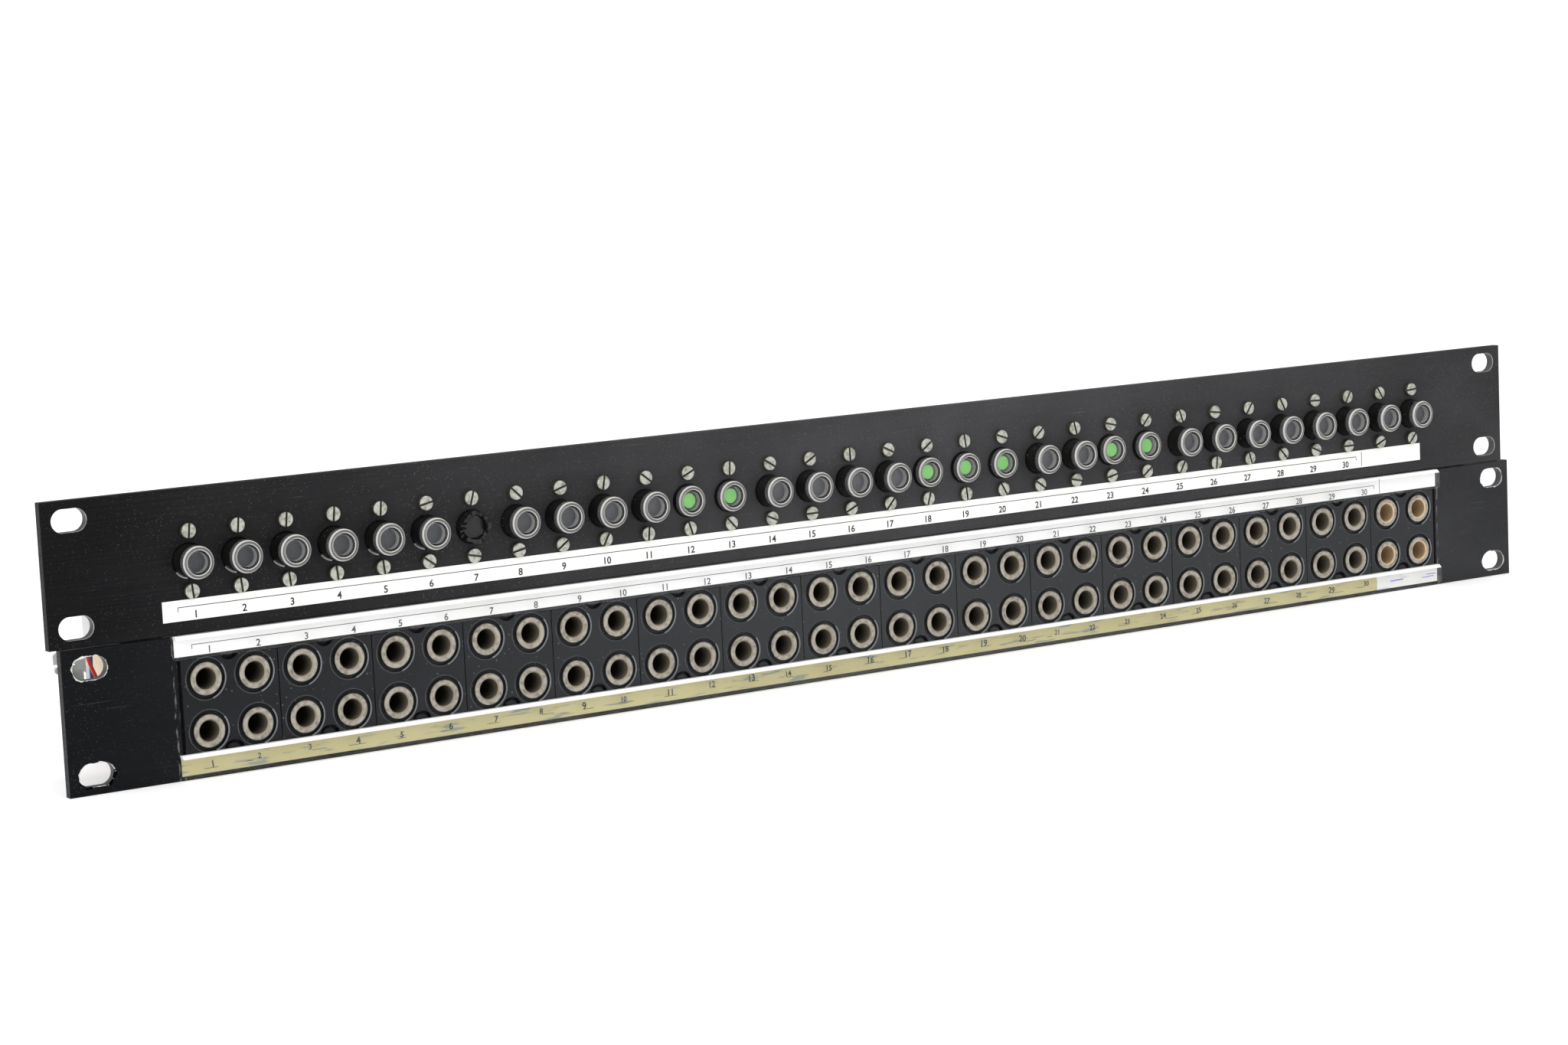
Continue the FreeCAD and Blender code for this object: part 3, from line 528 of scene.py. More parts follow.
@dataclass(frozen=True)
class ScrewMetal:
    """Zinc on slotted screw heads: dull and blotched, darker and less metallic from a little behind the head's
    face, in the slot and down the head's sides.
    """

    name: str
    colour: Colour
    blotch: Colour
    deep_colour: Colour
    slot_from: float
    slot_to: float

    def mix(self) -> Any:
        """Mix the material.

        Returns:
            The mixed material.
        """
        paint = Paint(self.name)
        _, y, _ = paint.axes()
        blotches = paint.noise(800.0, 4.0)
        head = paint.blend(paint.within(blotches, 0.44, 0.7), self.colour, self.blotch)
        # Darker and less metallic from a little behind the head's face: the slot and the head's sides.
        slot = paint.within(y, self.slot_from, self.slot_to)
        paint.put(
            Base_Color=paint.blend(slot, head, self.deep_colour),
            Metallic=paint.within(y, self.slot_from, self.slot_to, 0.75, 0.2),
            Roughness=paint.within(blotches, 0.3, 0.7, 0.36, 0.55),
        )
        paint.bump(blotches, 0.02 * MM)
        return paint.material


@dataclass(frozen=True)
class HolderPlastic:
    """Clear card holder plastic: a painted highlight along each top bevel, and a light haze below it."""

    name: str
    upper_top: float
    lower_top: float
    highlight_band: float
    highlight_fade: float = 0.15 * MM
    above: float = 1.0 * MM
    colour: Colour = (0.93, 0.93, 0.91)
    highlight_opacity: float = 0.92
    haze_opacity: float = 0.03

    def mix(self) -> Any:
        """Mix the material.

        Returns:
            The mixed material.
        """
        paint = Paint(self.name)
        _, _, z = paint.axes()
        # Painted highlight: a near-opaque white band along the top of each holder, where the bevel catches the
        # light.
        highlight_bands = [paint.calc("MULTIPLY",
                             paint.within(z, top - self.highlight_band - self.highlight_fade, top - self.highlight_band),
                             paint.calc("LESS_THAN", z, top + self.above))
                  for top in (self.upper_top, self.lower_top)]
        lower_only = paint.calc("MULTIPLY", highlight_bands[1], paint.calc("LESS_THAN", z, 0.0))
        painted_highlight = paint.calc("MAXIMUM", highlight_bands[0], lower_only)
        haze = paint.noise(600.0, 4.0, (0.15, 1.0, 1.0))
        thin = paint.within(haze, 0.35, 0.7, self.haze_opacity * 0.5, self.haze_opacity * 1.6)
        solid = paint.calc("MULTIPLY", painted_highlight, self.highlight_opacity)
        paint.put(
            Base_Color=self.colour,
            Alpha=paint.calc("MAXIMUM", thin, solid),
            Roughness=paint.within(haze, 0.3, 0.7, 0.10, 0.22),
        )
        return paint.material


@dataclass(frozen=True)
class Clear:
    """A clear plastic. It is thin enough to be shown by how much it lets through."""

    name: str
    colour: Colour
    opacity: float
    roughness: float

    def mix(self) -> Any:
        """Mix the material.

        Returns:
            The mixed material.
        """
        paint = Paint(self.name)
        haze = paint.noise(900.0, 3.0)
        paint.put(
            Base_Color=self.colour,
            Alpha=paint.within(haze, 0.3, 0.7, self.opacity * 0.97, self.opacity * 1.03),
            Roughness=paint.within(haze, 0.3, 0.7, self.roughness * 0.8, self.roughness * 1.3),
            IOR=1.49,
        )
        return paint.material


@dataclass(frozen=True)
class Card:
    """Paper or film: fibres, a slow change of tone and rubbed-out pen marks."""

    name: str
    colour: Colour
    soiled: Colour
    smudge: Colour
    smudge_share: float
    roughness: float = 0.6

    def mix(self) -> Any:
        """Mix the material.

        Returns:
            The mixed material.
        """
        paint = Paint(self.name)
        tone = paint.noise(35.0, 5.0, (0.5, 1.0, 1.0))
        fibres = paint.noise(3000.0, 2.0, (0.4, 1.0, 1.0))
        colour = paint.blend(paint.within(tone, 0.4, 0.75, 0.0, 0.7), self.colour, self.soiled)
        rubbed = paint.within(paint.noise(1.0, 6.0, (75.0, 1.0, 620.0)), 0.56, 0.63, 0.0, self.smudge_share)
        paint.put(
            Base_Color=paint.blend(rubbed, colour, self.smudge),
            Roughness=paint.within(fibres, 0.3, 0.7, self.roughness - 0.08, self.roughness + 0.08),
        )
        paint.bump(fibres, 0.01 * MM)
        return paint.material


class Finish(Enum):
    """Every finish on the object."""

    UPPER_PANEL = BlackPanel("upper_panel_black", (0.001, 0.001, 0.0015), (0.008, 0.008, 0.009),
                             0.6, 0.3, 0.42, (-3.3 * MM, 44.05 * MM), 0.05 * MM)
    LOWER_PANEL = BlackPanel("lower_panel_black", (0.001, 0.0015, 0.0025), (0.006, 0.007, 0.010),
                             0.25, 0.2, 0.36, (0.0, 0.0), 0.5 * MM, haze=0.30,
                             residue=(-257.3 * MM, -255.6 * MM, 254.9 * MM))
    HOUSING = Moulding("jack_moulding_black", (0.004, 0.0045, 0.006), (0.008, 0.009, 0.0115), 0.5, dust=0.25,
                       gloss=0.16, haze=0.3, seam_pitch=31.75 * MM)
    SWITCH_CASE = Moulding("switch_case_black", (0.02, 0.02, 0.022), (0.035, 0.035, 0.036), 0.48)
    BARREL = Moulding("barrel_black", (0.005, 0.005, 0.005), (0.012, 0.012, 0.011), 0.22, 0.006, dust=0.2)
    # The diaphragm's haze is a painted reflection: its discs are lightened towards the middle and the right of the
    # rack.
    DIAPHRAGM = Moulding("diaphragm_rubber", (0.012, 0.015, 0.021), (0.022, 0.026, 0.034),
                         0.38, 0.001, haze=0.8, haze_colour=(0.12, 0.125, 0.135))
    BASE = Moulding("phenolic_brown", (0.09, 0.045, 0.025), (0.15, 0.08, 0.045), 0.5)
    POST = Moulding("indicator_green", (0.17, 0.50, 0.12), (0.23, 0.58, 0.17), 0.45, 0.01)
    NYLON = Moulding("nylon_natural", (0.78, 0.79, 0.76), (0.85, 0.85, 0.82), 0.4)
    LAMINATE = Moulding("board_laminate", (0.56, 0.45, 0.31), (0.66, 0.56, 0.42), 0.55)
    RED = Moulding("wire_red", (0.55, 0.03, 0.025), (0.7, 0.06, 0.05), 0.35)
    BLUE = Moulding("wire_blue", (0.02, 0.05, 0.16), (0.04, 0.09, 0.24), 0.35)
    INK = Moulding("print_ink", (0.012, 0.012, 0.014), (0.05, 0.05, 0.055), 0.6)
    FAINT_INK = Moulding("print_ink_faint", (0.07, 0.07, 0.075), (0.16, 0.16, 0.165), 0.6)
    PEN = Moulding("pen_ink", (0.02, 0.03, 0.035), (0.09, 0.11, 0.12), 0.6)
    BLUE_PEN = Moulding("blue_pen_ink", (0.06, 0.10, 0.45), (0.2, 0.28, 0.7), 0.6)
    ZINC = Plated("zinc_plate", (0.52, 0.53, 0.48), (0.32, 0.31, 0.25), 0.42, 0.8, 620.0)
    SCREW = ScrewMetal("screw_zinc", (0.50, 0.51, 0.46), (0.27, 0.26, 0.2), (0.06, 0.05, 0.035),
                       -1.45 * MM, -1.15 * MM)
    SHEET = Plated("bracket_zinc", (0.6, 0.61, 0.6), (0.46, 0.47, 0.46), 0.36, 0.9, 90.0, (0.2, 1.0, 6.0))
    CONTACT = Plated("contact_silver", (0.74, 0.66, 0.5), (0.5, 0.4, 0.25), 0.3, 1.0, 300.0)
    STEEL_WIRE = Plated("spring_steel", (0.5, 0.5, 0.49), (0.3, 0.29, 0.27), 0.3)
    SLEEVE = SleeveMetal("sleeve_nickel", (0.40, 0.37, 0.32), (0.07, 0.058, 0.044), (0.62, 0.47, 0.29),
                         221.6 * MM, -0.5 * MM)
    LENS = Clear("lens_clear", (0.4, 0.4, 0.4), 0.03, 0.06)
    LENS_BAND = Clear("lens_band", (0.36, 0.36, 0.35), 0.30, 0.12)
    # Painted highlight: a light, nearly opaque colour on the lens rims.
    LENS_RIM = Clear("lens_rim_painted_highlight", (0.72, 0.70, 0.66), 0.74, 0.16)
    LENS_SIDE = Clear("lens_side", (0.12, 0.12, 0.12), 0.5, 0.12)
    # Painted light: a light grey on the clear wall of the lens well.
    LENS_WALL = Clear("lens_wall_painted_light", (0.46, 0.46, 0.45), 0.66, 0.4)
    RECESS_EDGE = Moulding("recess_edge_black", (0.02, 0.021, 0.024), (0.03, 0.031, 0.035),
                           0.18, 0.004, gloss=0.6)
    # Painted highlight: a lighter grey on one arc of each jack recess edge.
    RECESS_WORN = Moulding("recess_edge_painted_highlight", (0.15, 0.155, 0.165), (0.20, 0.205, 0.215), 0.3, 0.002)
    # Painted glint: white and unmetallic, on the lower left of the lips of the first six button holes.
    HOLE_EDGE = Plated("hole_edge_painted_glint", (0.97, 0.97, 0.96), (0.9, 0.9, 0.88), 0.35, 0.0, 500.0)
    LINK_SHEET = Plated("link_plate_zinc", (0.72, 0.72, 0.70), (0.55, 0.55, 0.53), 0.45, 0.15, 300.0)
    # The holders carry a painted highlight along their top bevels.
    STRIP = HolderPlastic("strip_clear", 21.95 * MM, -14.0 * MM, 1.0 * MM)
    LABEL = Card("label_white", (0.575, 0.555, 0.525), (0.52, 0.495, 0.45), (0.3, 0.3, 0.3), 0.0, 0.45)
    WHITE_CARD = Card("card_white", (0.86, 0.86, 0.86), (0.77, 0.76, 0.73), (0.5, 0.5, 0.5), 0.0)
    AGED_CARD = Card("card_aged", (0.52, 0.475, 0.23), (0.41, 0.36, 0.16), (0.16, 0.20, 0.20), 0.75)
    BLANK_CARD = Card("card_blank", (0.80, 0.80, 0.78), (0.68, 0.66, 0.60), (0.3, 0.36, 0.5), 0.3)

    def material(self) -> Any:
        """The finish's material, mixed once."""
        return bpy.data.materials.get(self.value.name) or self.value.mix()


# ---------------------------------------------------------------- modelling

def deselect() -> None:
    """Leave nothing selected and nothing active."""
    bpy.ops.object.select_all(action="DESELECT")
    bpy.context.view_layer.objects.active = None


def settle(name: str, finish: Finish, smooth_angle: float = 32.0) -> Any:
    """Name the active piece, apply its place, shade it and give it its finish.

    Args:
        name: the piece's name.
        finish: what it is made of.
        smooth_angle: edges sharper than this many degrees stay sharp.

    Returns:
        The piece.
    """
    piece = bpy.context.view_layer.objects.active
    bpy.ops.object.transform_apply(location=True, rotation=True, scale=True)
    bpy.ops.object.shade_smooth_by_angle(angle=math.radians(smooth_angle))
    piece.name = piece.data.name = name
    piece.data.materials.clear()
    piece.data.materials.append(finish.material())
    return piece


def copied(source: Any, name: str, offset: Sequence[float]) -> Any:
    """A copy of a piece with its own mesh, moved by an offset.

    Args:
        source: the piece to copy.
        name: the copy's name.
        offset: how far it moves, in metres.

    Returns:
        The copy.
    """
    piece = source.copy()
    piece.data = source.data.copy()
    piece.name = piece.data.name = name
    piece.data.transform(Matrix.Translation(offset))
    bpy.context.scene.collection.objects.link(piece)
    return piece


def removed(pieces: Iterable[Any]) -> None:
    """Delete patterns that were only copied from."""
    for piece in pieces:
        bpy.data.objects.remove(piece)


def joined(pieces: Sequence[Any], name: str) -> Any:
    """Join pieces into one of that name.

    Args:
        pieces: what to join.
        name: the whole's name.

    Returns:
        The whole.
    """
    deselect()
    for piece in pieces:
        piece.select_set(True)
    bpy.context.view_layer.objects.active = pieces[0]
    if len(pieces) > 1:
        bpy.ops.object.join()
    whole = bpy.context.view_layer.objects.active
    whole.name = whole.data.name = name
    return whole


def turned(name: str, finish: Finish, profile: Sequence[tuple[float, float]], segments: int = 48,
           closed: bool = True) -> Any:
    """A piece turned about the Y axis, shaped ring by ring.

    Args:
        name: the piece's name.
        finish: what it is made of.
        profile: radius and depth of each ring, in millimetres.
        segments: how many sides a ring has.
        closed: whether the last ring joins the first. Otherwise both ends are filled.

    Returns:
        The piece, with Y = 0 at its front.
    """
    deselect()
    radius, depth = profile[0]
    bpy.ops.mesh.primitive_circle_add(vertices=segments, radius=radius * MM, location=(0, depth * MM, 0),
                                      rotation=(math.pi / 2, 0, 0), fill_type="NOTHING" if closed else "NGON")
    bpy.ops.object.transform_apply(location=True, rotation=True, scale=True)
    bpy.ops.object.mode_set(mode="EDIT")
    bpy.ops.mesh.select_mode(type="VERT")
    bpy.ops.mesh.select_all(action="SELECT")
    rings = list(profile[1:]) + ([profile[0]] if closed else [])
    for next_radius, next_depth in rings:
        bpy.ops.mesh.extrude_region_move(TRANSFORM_OT_translate={"value": (0, (next_depth - depth) * MM, 0)})
        share = next_radius / radius
        bpy.ops.transform.resize(value=(share, 1, share), center_override=(0, next_depth * MM, 0))
        radius, depth = next_radius, next_depth
    bpy.ops.mesh.select_all(action="SELECT")
    bpy.ops.mesh.remove_doubles(threshold=0.004 * MM)
    bpy.ops.mesh.normals_make_consistent(inside=False)
    bpy.ops.object.mode_set(mode="OBJECT")
    return settle(name, finish)


def repainted(piece: Any, finish: Finish, chosen: Callable[[float, float, Any], bool]) -> None:
    """Give some faces of a turned piece a second finish.

    Args:
        piece: the turned piece.
        finish: the second finish.
        chosen: picks a face by its centre's radius and depth in millimetres, and its normal.
    """
    piece.data.materials.append(finish.material())
    index = len(piece.data.materials) - 1
    for face in piece.data.polygons:
        radius = math.hypot(face.center.x, face.center.z) / MM
        if chosen(radius, face.center.y / MM, face.normal):
            face.material_index = index


def dress(node: str, finish: Finish) -> Any:
    """Give a CAD node its finish.

    Args:
        node: the node's name.
        finish: what it is made of.

    Returns:
        The node's object.
    """
    piece = frame["nodes"][node]
    piece.data.materials.clear()
    piece.data.materials.append(finish.material())
    LOG.info("dressed %s in %s", node, finish.value.name)
    return piece


def centre_of(node: str) -> Vector:
    """The middle of a CAD node's box."""
    low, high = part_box(node)
    return (low + high) / 2


# ---------------------------------------------------------------- buttons

@dataclass
class Buttons:
    """The row of 32 latching buttons: black barrel, clear cap and slit diaphragm."""

    count: int = 32
    lost_lens: int = 7
    barrel_front: float = 2.3
    barrel_radius: float = 5.05
    barrel_bore: float = 3.75
    rim_depth: float = 0.3
    collar_radius: float = 5.85
    collar_start: float = 17.1
    collar_end: float = 22.1
    lens_radius: float = 4.98
    well_radius: float = 3.15
    diaphragm_depth: float = 3.6
    diaphragm_hole: float = 2.62
    diaphragm_thickness: float = 0.5
    leaf_thickness: float = 0.12
    slit: float = 0.012
    squeeze: float = 0.08
    lost_depth: float = 1.5
    patterns: dict[str, Any] = field(default_factory=dict)

    def lens(self) -> Any:
        """A clear cap with a raised round lip and a deep well behind its window.

        Returns:
            The piece.
        """
        r = self.lens_radius
        profile = [(3.72, 0.30), (3.95, 0.10), (4.15, 0.02), (4.4, 0.0), (4.66, 0.08), (4.86, 0.3), (r, 0.7),
                   (r, self.barrel_front), (self.barrel_bore - 0.05, self.barrel_front),
                   (self.barrel_bore - 0.05, 3.2), (self.well_radius + 0.1, 3.2), (self.well_radius, 3.1),
                   (self.well_radius, 0.95)]
        lens = turned("lens", Finish.LENS, profile, closed=False)
        repainted(lens, Finish.LENS_BAND, lambda rad, y, n: 3.95 < rad < 4.7 and y < 0.4)
        # The inner and outer rims of the cap carry a painted highlight.
        repainted(lens, Finish.LENS_RIM,
                  lambda rad, y, n: 3.75 < rad < 3.98 and y < 0.4 or rad > 4.7 and y < 0.72)
        repainted(lens, Finish.LENS_SIDE, lambda rad, y, n: rad > 4.9 and y > 0.72)
        # The clear wall of the well is painted light grey, standing in for light seen in it.
        repainted(lens, Finish.LENS_WALL, lambda rad, y, n: rad < self.well_radius + 0.02 and 0.96 < y < 3.09)
        return lens

    def barrel(self) -> Any:
        """A black tube with a rear collar that slides in the switch case.

        Returns:
            The piece.
        """
        bore, r, front = self.barrel_bore, self.barrel_radius, self.barrel_front
        collar, start, end = self.collar_radius, self.collar_start, self.collar_end
        profile = [(bore, front + 0.15), (bore + 0.12, front + 0.03), (r - 0.15, front + 0.03),
                   (r, front + 0.2), (r, start - 0.3), (r + 0.1, start), (collar, start),
                   (collar, end), (bore, end)]
        return turned("barrel", Finish.BARREL, profile)

    def broken_barrel(self) -> Any:
        """The barrel that lost its lens, with its rim snapped off in steps.

        Returns:
            The piece.
        """
        barrel = copied(self.patterns["barrel"], "broken_barrel", (0, 0, 0))
        deselect()
        barrel.select_set(True)
        bpy.context.view_layer.objects.active = barrel
        rim_end = (self.barrel_front + self.rim_depth) * MM
        teeth = (0.3, 0.9, 2.2, 2.9, 1.2, 0.2, 0.6, 2.0, 2.6, 3.3, 1.6, 0.5, 0.1, 1.4, 2.3, 0.8)
        for index, bite in enumerate(teeth):
            middle = 2 * math.pi * (index + 0.5) / len(teeth)
            bpy.ops.object.mode_set(mode="EDIT")
            bpy.ops.mesh.select_all(action="DESELECT")
            bpy.ops.object.mode_set(mode="OBJECT")
            for vertex in barrel.data.vertices:
                turn = math.atan2(vertex.co.z, vertex.co.x)
                apart = math.atan2(math.sin(turn - middle), math.cos(turn - middle))
                vertex.select = abs(apart) <= math.pi / len(teeth) and vertex.co.y < rim_end
            bpy.ops.object.mode_set(mode="EDIT")
            bpy.ops.transform.translate(value=(0, bite * MM, 0))
            bpy.ops.object.mode_set(mode="OBJECT")
        return settle("broken_barrel", Finish.BARREL, 25.0)

    def diaphragm(self) -> Any:
        """The ring that holds the slit leaves.

        Returns:
            The piece.
        """
        y, t = self.diaphragm_depth, self.diaphragm_thickness
        rim, hole = self.barrel_bore - 0.06, self.diaphragm_hole
        return turned("diaphragm", Finish.DIAPHRAGM, [(hole, y + 0.04), (hole + 0.06, y), (rim - 0.1, y),
                                                      (rim, y + 0.1), (rim, y + t), (hole, y + t)])

    def leaf(self, side: int) -> Any:
        """Half of the slit rubber disc that the post pushes through.

        Args:
            side: -1 for the left half, 1 for the right.

        Returns:
            The piece.
        """
        deselect()
        bpy.ops.mesh.primitive_circle_add(vertices=40, radius=self.diaphragm_hole * MM, fill_type="NGON",
                                          location=(0, (self.diaphragm_depth + 0.06) * MM, 0),
                                          rotation=(math.pi / 2, 0, 0))
        bpy.ops.object.transform_apply(location=True, rotation=True, scale=True)
        bpy.ops.object.mode_set(mode="EDIT")
        bpy.ops.mesh.select_all(action="SELECT")
        bpy.ops.mesh.bisect(plane_co=(side * self.slit * MM, 0, 0), plane_no=(side, 0, 0), clear_inner=True)
        bpy.ops.mesh.select_all(action="SELECT")
        bpy.ops.mesh.extrude_region_move(TRANSFORM_OT_translate={"value": (0, self.leaf_thickness * MM, 0)})
        bpy.ops.mesh.select_all(action="SELECT")
        bpy.ops.mesh.normals_make_consistent(inside=False)
        bpy.ops.object.mode_set(mode="OBJECT")
        return settle("leaf", Finish.DIAPHRAGM)

    def place(self, kind: str, name: str, body: str, offset: Sequence[float]) -> Any:
        """Copy a pattern to its button and let it ride there.

        Args:
            kind: which pattern.
            name: the copy's name.
            body: the button's body.
            offset: the place of the button's front.

        Returns:
            The copy.
        """
        piece = copied(self.patterns[kind], name, offset)
        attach(piece, body)
        return piece

    def build(self) -> None:
        """Build every button on its CAD plunger's place."""
        self.patterns["lens"] = self.lens()
        self.patterns["barrel"] = self.barrel()
        self.patterns["broken_barrel"] = self.broken_barrel()
        self.patterns["diaphragm"] = self.diaphragm()
        self.patterns["leaf_left"] = self.leaf(-1)
        self.patterns["leaf_right"] = self.leaf(1)
        joints = {joint["child"]: joint for joint in frame["joints"]}
        for number in range(1, self.count + 1):
            node, body = f"plunger_{number:02d}", f"button_{number:02d}"
            low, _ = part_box(node)
            middle = centre_of(node)
            broken = number == self.lost_lens
            front = low.y - (self.barrel_front * MM if broken else 0.0)
            place = Vector((middle.x, front, middle.z))
            deep = place + Vector((0, self.lost_depth * MM if broken else 0.0, 0))
            barrel = self.place("broken_barrel" if broken else "barrel", f"{body}_barrel", body, place)
            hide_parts(node)
            if not broken:
                self.place("lens", f"{body}_lens", body, place)
            ring = self.place("diaphragm", f"{body}_diaphragm", body, deep)
            # The open hollow of the lensless button is painted in shade: its diaphragm takes the black barrel
            # finish.
            if broken:
                ring.data.materials[0] = Finish.BARREL.material()
            for side, word in ((-1, "left"), (1, "right")):
                leaf = self.place(f"leaf_{word}", f"{body}_leaf_{word}", body, deep)
                # Its leaves are painted in the same shade.
                if broken:
                    leaf.data.materials[0] = Finish.BARREL.material()
                joint = joints[body]
                if joint["range_m"][1] > 0:
                    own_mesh(leaf)
            LOG.info("built button %d", number)
        removed(self.patterns.values())


# ---------------------------------------------------------------- strips

@dataclass
class Lettering:
    """Printed or written numbers and lines on a strip's front face."""

    name: str
    finish: Finish
    face_y: float
    thickness: float = 0.03 * MM
    weight: float = 0.03
    size_per_height: float = 1.42
    pieces: list[Any] = field(default_factory=list)

    def number(self, text: str, x: float, z: float, height: float, lean: float = 0.0) -> None:
        """Add a number centred on a place.

        Args:
            text: the digits.
            x: across the strip.
            z: height.
            height: how tall the digits are.
            lean: how far they turn, in radians.
        """
        deselect()
        bpy.ops.object.text_add(location=(x, self.face_y - self.thickness / 2, z),
                                rotation=(math.pi / 2, lean, 0))
        word = bpy.context.view_layer.objects.active
        word.data.body = text
        word.data.align_x, word.data.align_y = "CENTER", "CENTER"
        word.data.size = height * self.size_per_height
        word.data.offset = height * self.weight
        word.data.resolution_u = 4
        word.data.extrude = self.thickness / 2
        bpy.ops.object.convert(target="MESH")
        word = bpy.context.view_layer.objects.active
        bpy.ops.object.transform_apply(location=True, rotation=True, scale=True)
        self.pieces.append(word)

    def line(self, x0: float, x1: float, z0: float, z1: float) -> None:
        """Add a ruled line between two corners.

        Args:
            x0: one end across.
            x1: the other end across.
            z0: its bottom.
            z1: its top.
        """
        deselect()
        middle = ((x0 + x1) / 2, self.face_y - self.thickness, (z0 + z1) / 2)
        bpy.ops.mesh.primitive_plane_add(size=1.0, rotation=(math.pi / 2, 0, 0), location=middle)
        bpy.ops.transform.resize(value=(abs(x1 - x0), 1, abs(z1 - z0)))
        bpy.ops.object.mode_set(mode="EDIT")
        bpy.ops.mesh.select_all(action="SELECT")
        bpy.ops.mesh.extrude_region_move(TRANSFORM_OT_translate={"value": (0, self.thickness, 0)})
        bpy.ops.mesh.select_all(action="SELECT")
        bpy.ops.mesh.normals_make_consistent(inside=False)
        bpy.ops.object.mode_set(mode="OBJECT")
        bpy.ops.object.transform_apply(location=True, rotation=True, scale=True)
        self.pieces.append(bpy.context.view_layer.objects.active)

    def build(self, slot: str) -> Any:
        """Join all of it into one piece that rides on the frame.

        Args:
            slot: the record's material slot; not used.

        Returns:
            The piece.
        """
        whole = joined(self.pieces, self.name)
        whole.data.materials.clear()
        whole.data.materials.append(self.finish.material())
        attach(whole, ROOT)
        LOG.info("printed %s", self.name)
        return whole


@dataclass
class Rims:
    """Small rounded edges: around each jack's recess, and inside each button's hole in the panel. A painted
    highlight lightens one arc of each recess edge, and a painted glint whitens the lower left of the first six
    holes' lips.
    """

    recess_radius: float = 6.5
    recess_edge: float = 0.26
    edge_sides: int = 8
    holes: int = 32
    hole_radius: float = 5.48
    hole_lip: float = 0.42
    hole_front: float = 0.02
    hole_back: float = 0.5
    # Angles and count of the holes whose lip carries a painted glint.
    glint_from: float = 216.0
    glint_to: float = 260.0
    glint_holes: int = 6
    # Angles of the painted highlight on each recess edge.
    highlight_from: float = -75.0
    highlight_to: float = 38.0

    def recess(self) -> Any:
        """One rounded edge around a jack's recess.

        Returns:
            The edge.
        """
        turns = [2 * math.pi * step / self.edge_sides for step in range(self.edge_sides)]
        profile = [(self.recess_radius + self.recess_edge * math.cos(turn),
                    self.recess_edge * (0.6 + math.sin(turn))) for turn in turns]
        ring = turned("recess_edge", Finish.RECESS_EDGE, profile, 40)
        # One arc of the edge gets a painted highlight.
        self.paint_arc_highlight(ring, Finish.RECESS_WORN, self.highlight_from, self.highlight_to)
        return ring

    def paint_arc_highlight(self, ring: Any, finish: Finish, start: float, end: float) -> None:
        """Give a ring's faces between two angles, in degrees, a second finish that paints a highlight on them."""
        ring.data.materials.append(finish.material())
        for face in ring.data.polygons:
            turn = (math.degrees(math.atan2(face.center.z, face.center.x)) - start) % 360
            if turn < end - start:
                face.material_index = 1

    def hole(self) -> Any:
        """One hole's bevelled lip.

        Returns:
            The lip.
        """
        r, lip = self.hole_radius, self.hole_lip
        front, back = self.hole_front, self.hole_back
        return turned("hole_edge", Finish.UPPER_PANEL,
                      [(r, front), (r - lip, front + lip), (r - lip, back), (r, back)])

    def build(self) -> None:
        """Copy both edges to every jack and every button."""
        recess, hole, glinting_hole = self.recess(), self.hole(), self.hole()
        # The lip of the first few holes gets a painted glint on its lower left.
        self.paint_arc_highlight(glinting_hole, Finish.HOLE_EDGE, self.glint_from, self.glint_to)
        edges, lips = [], []
        for mount in frame["record"]["mounts"]:
            if mount["name"].startswith(("upper_jack", "lower_jack")):
                x, _, z = mount["pos_m"]
                edges.append(copied(recess, "recess_edges", (x, 0, z)))
        for number in range(1, self.holes + 1):
            middle = centre_of(f"plunger_{number:02d}")
            source = glinting_hole if number <= self.glint_holes else hole
            lips.append(copied(source, "hole_edges", (middle.x, 0, middle.z)))
        groups = ((edges, "recess_edges", "black_moulding"), (lips, "hole_edges", "black_panel"))
        for pieces, name, slot in groups:
            whole = joined(pieces, name)
            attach(whole, ROOT)
            LOG.info("built %s", name)
        removed([recess, hole, glinting_hole])


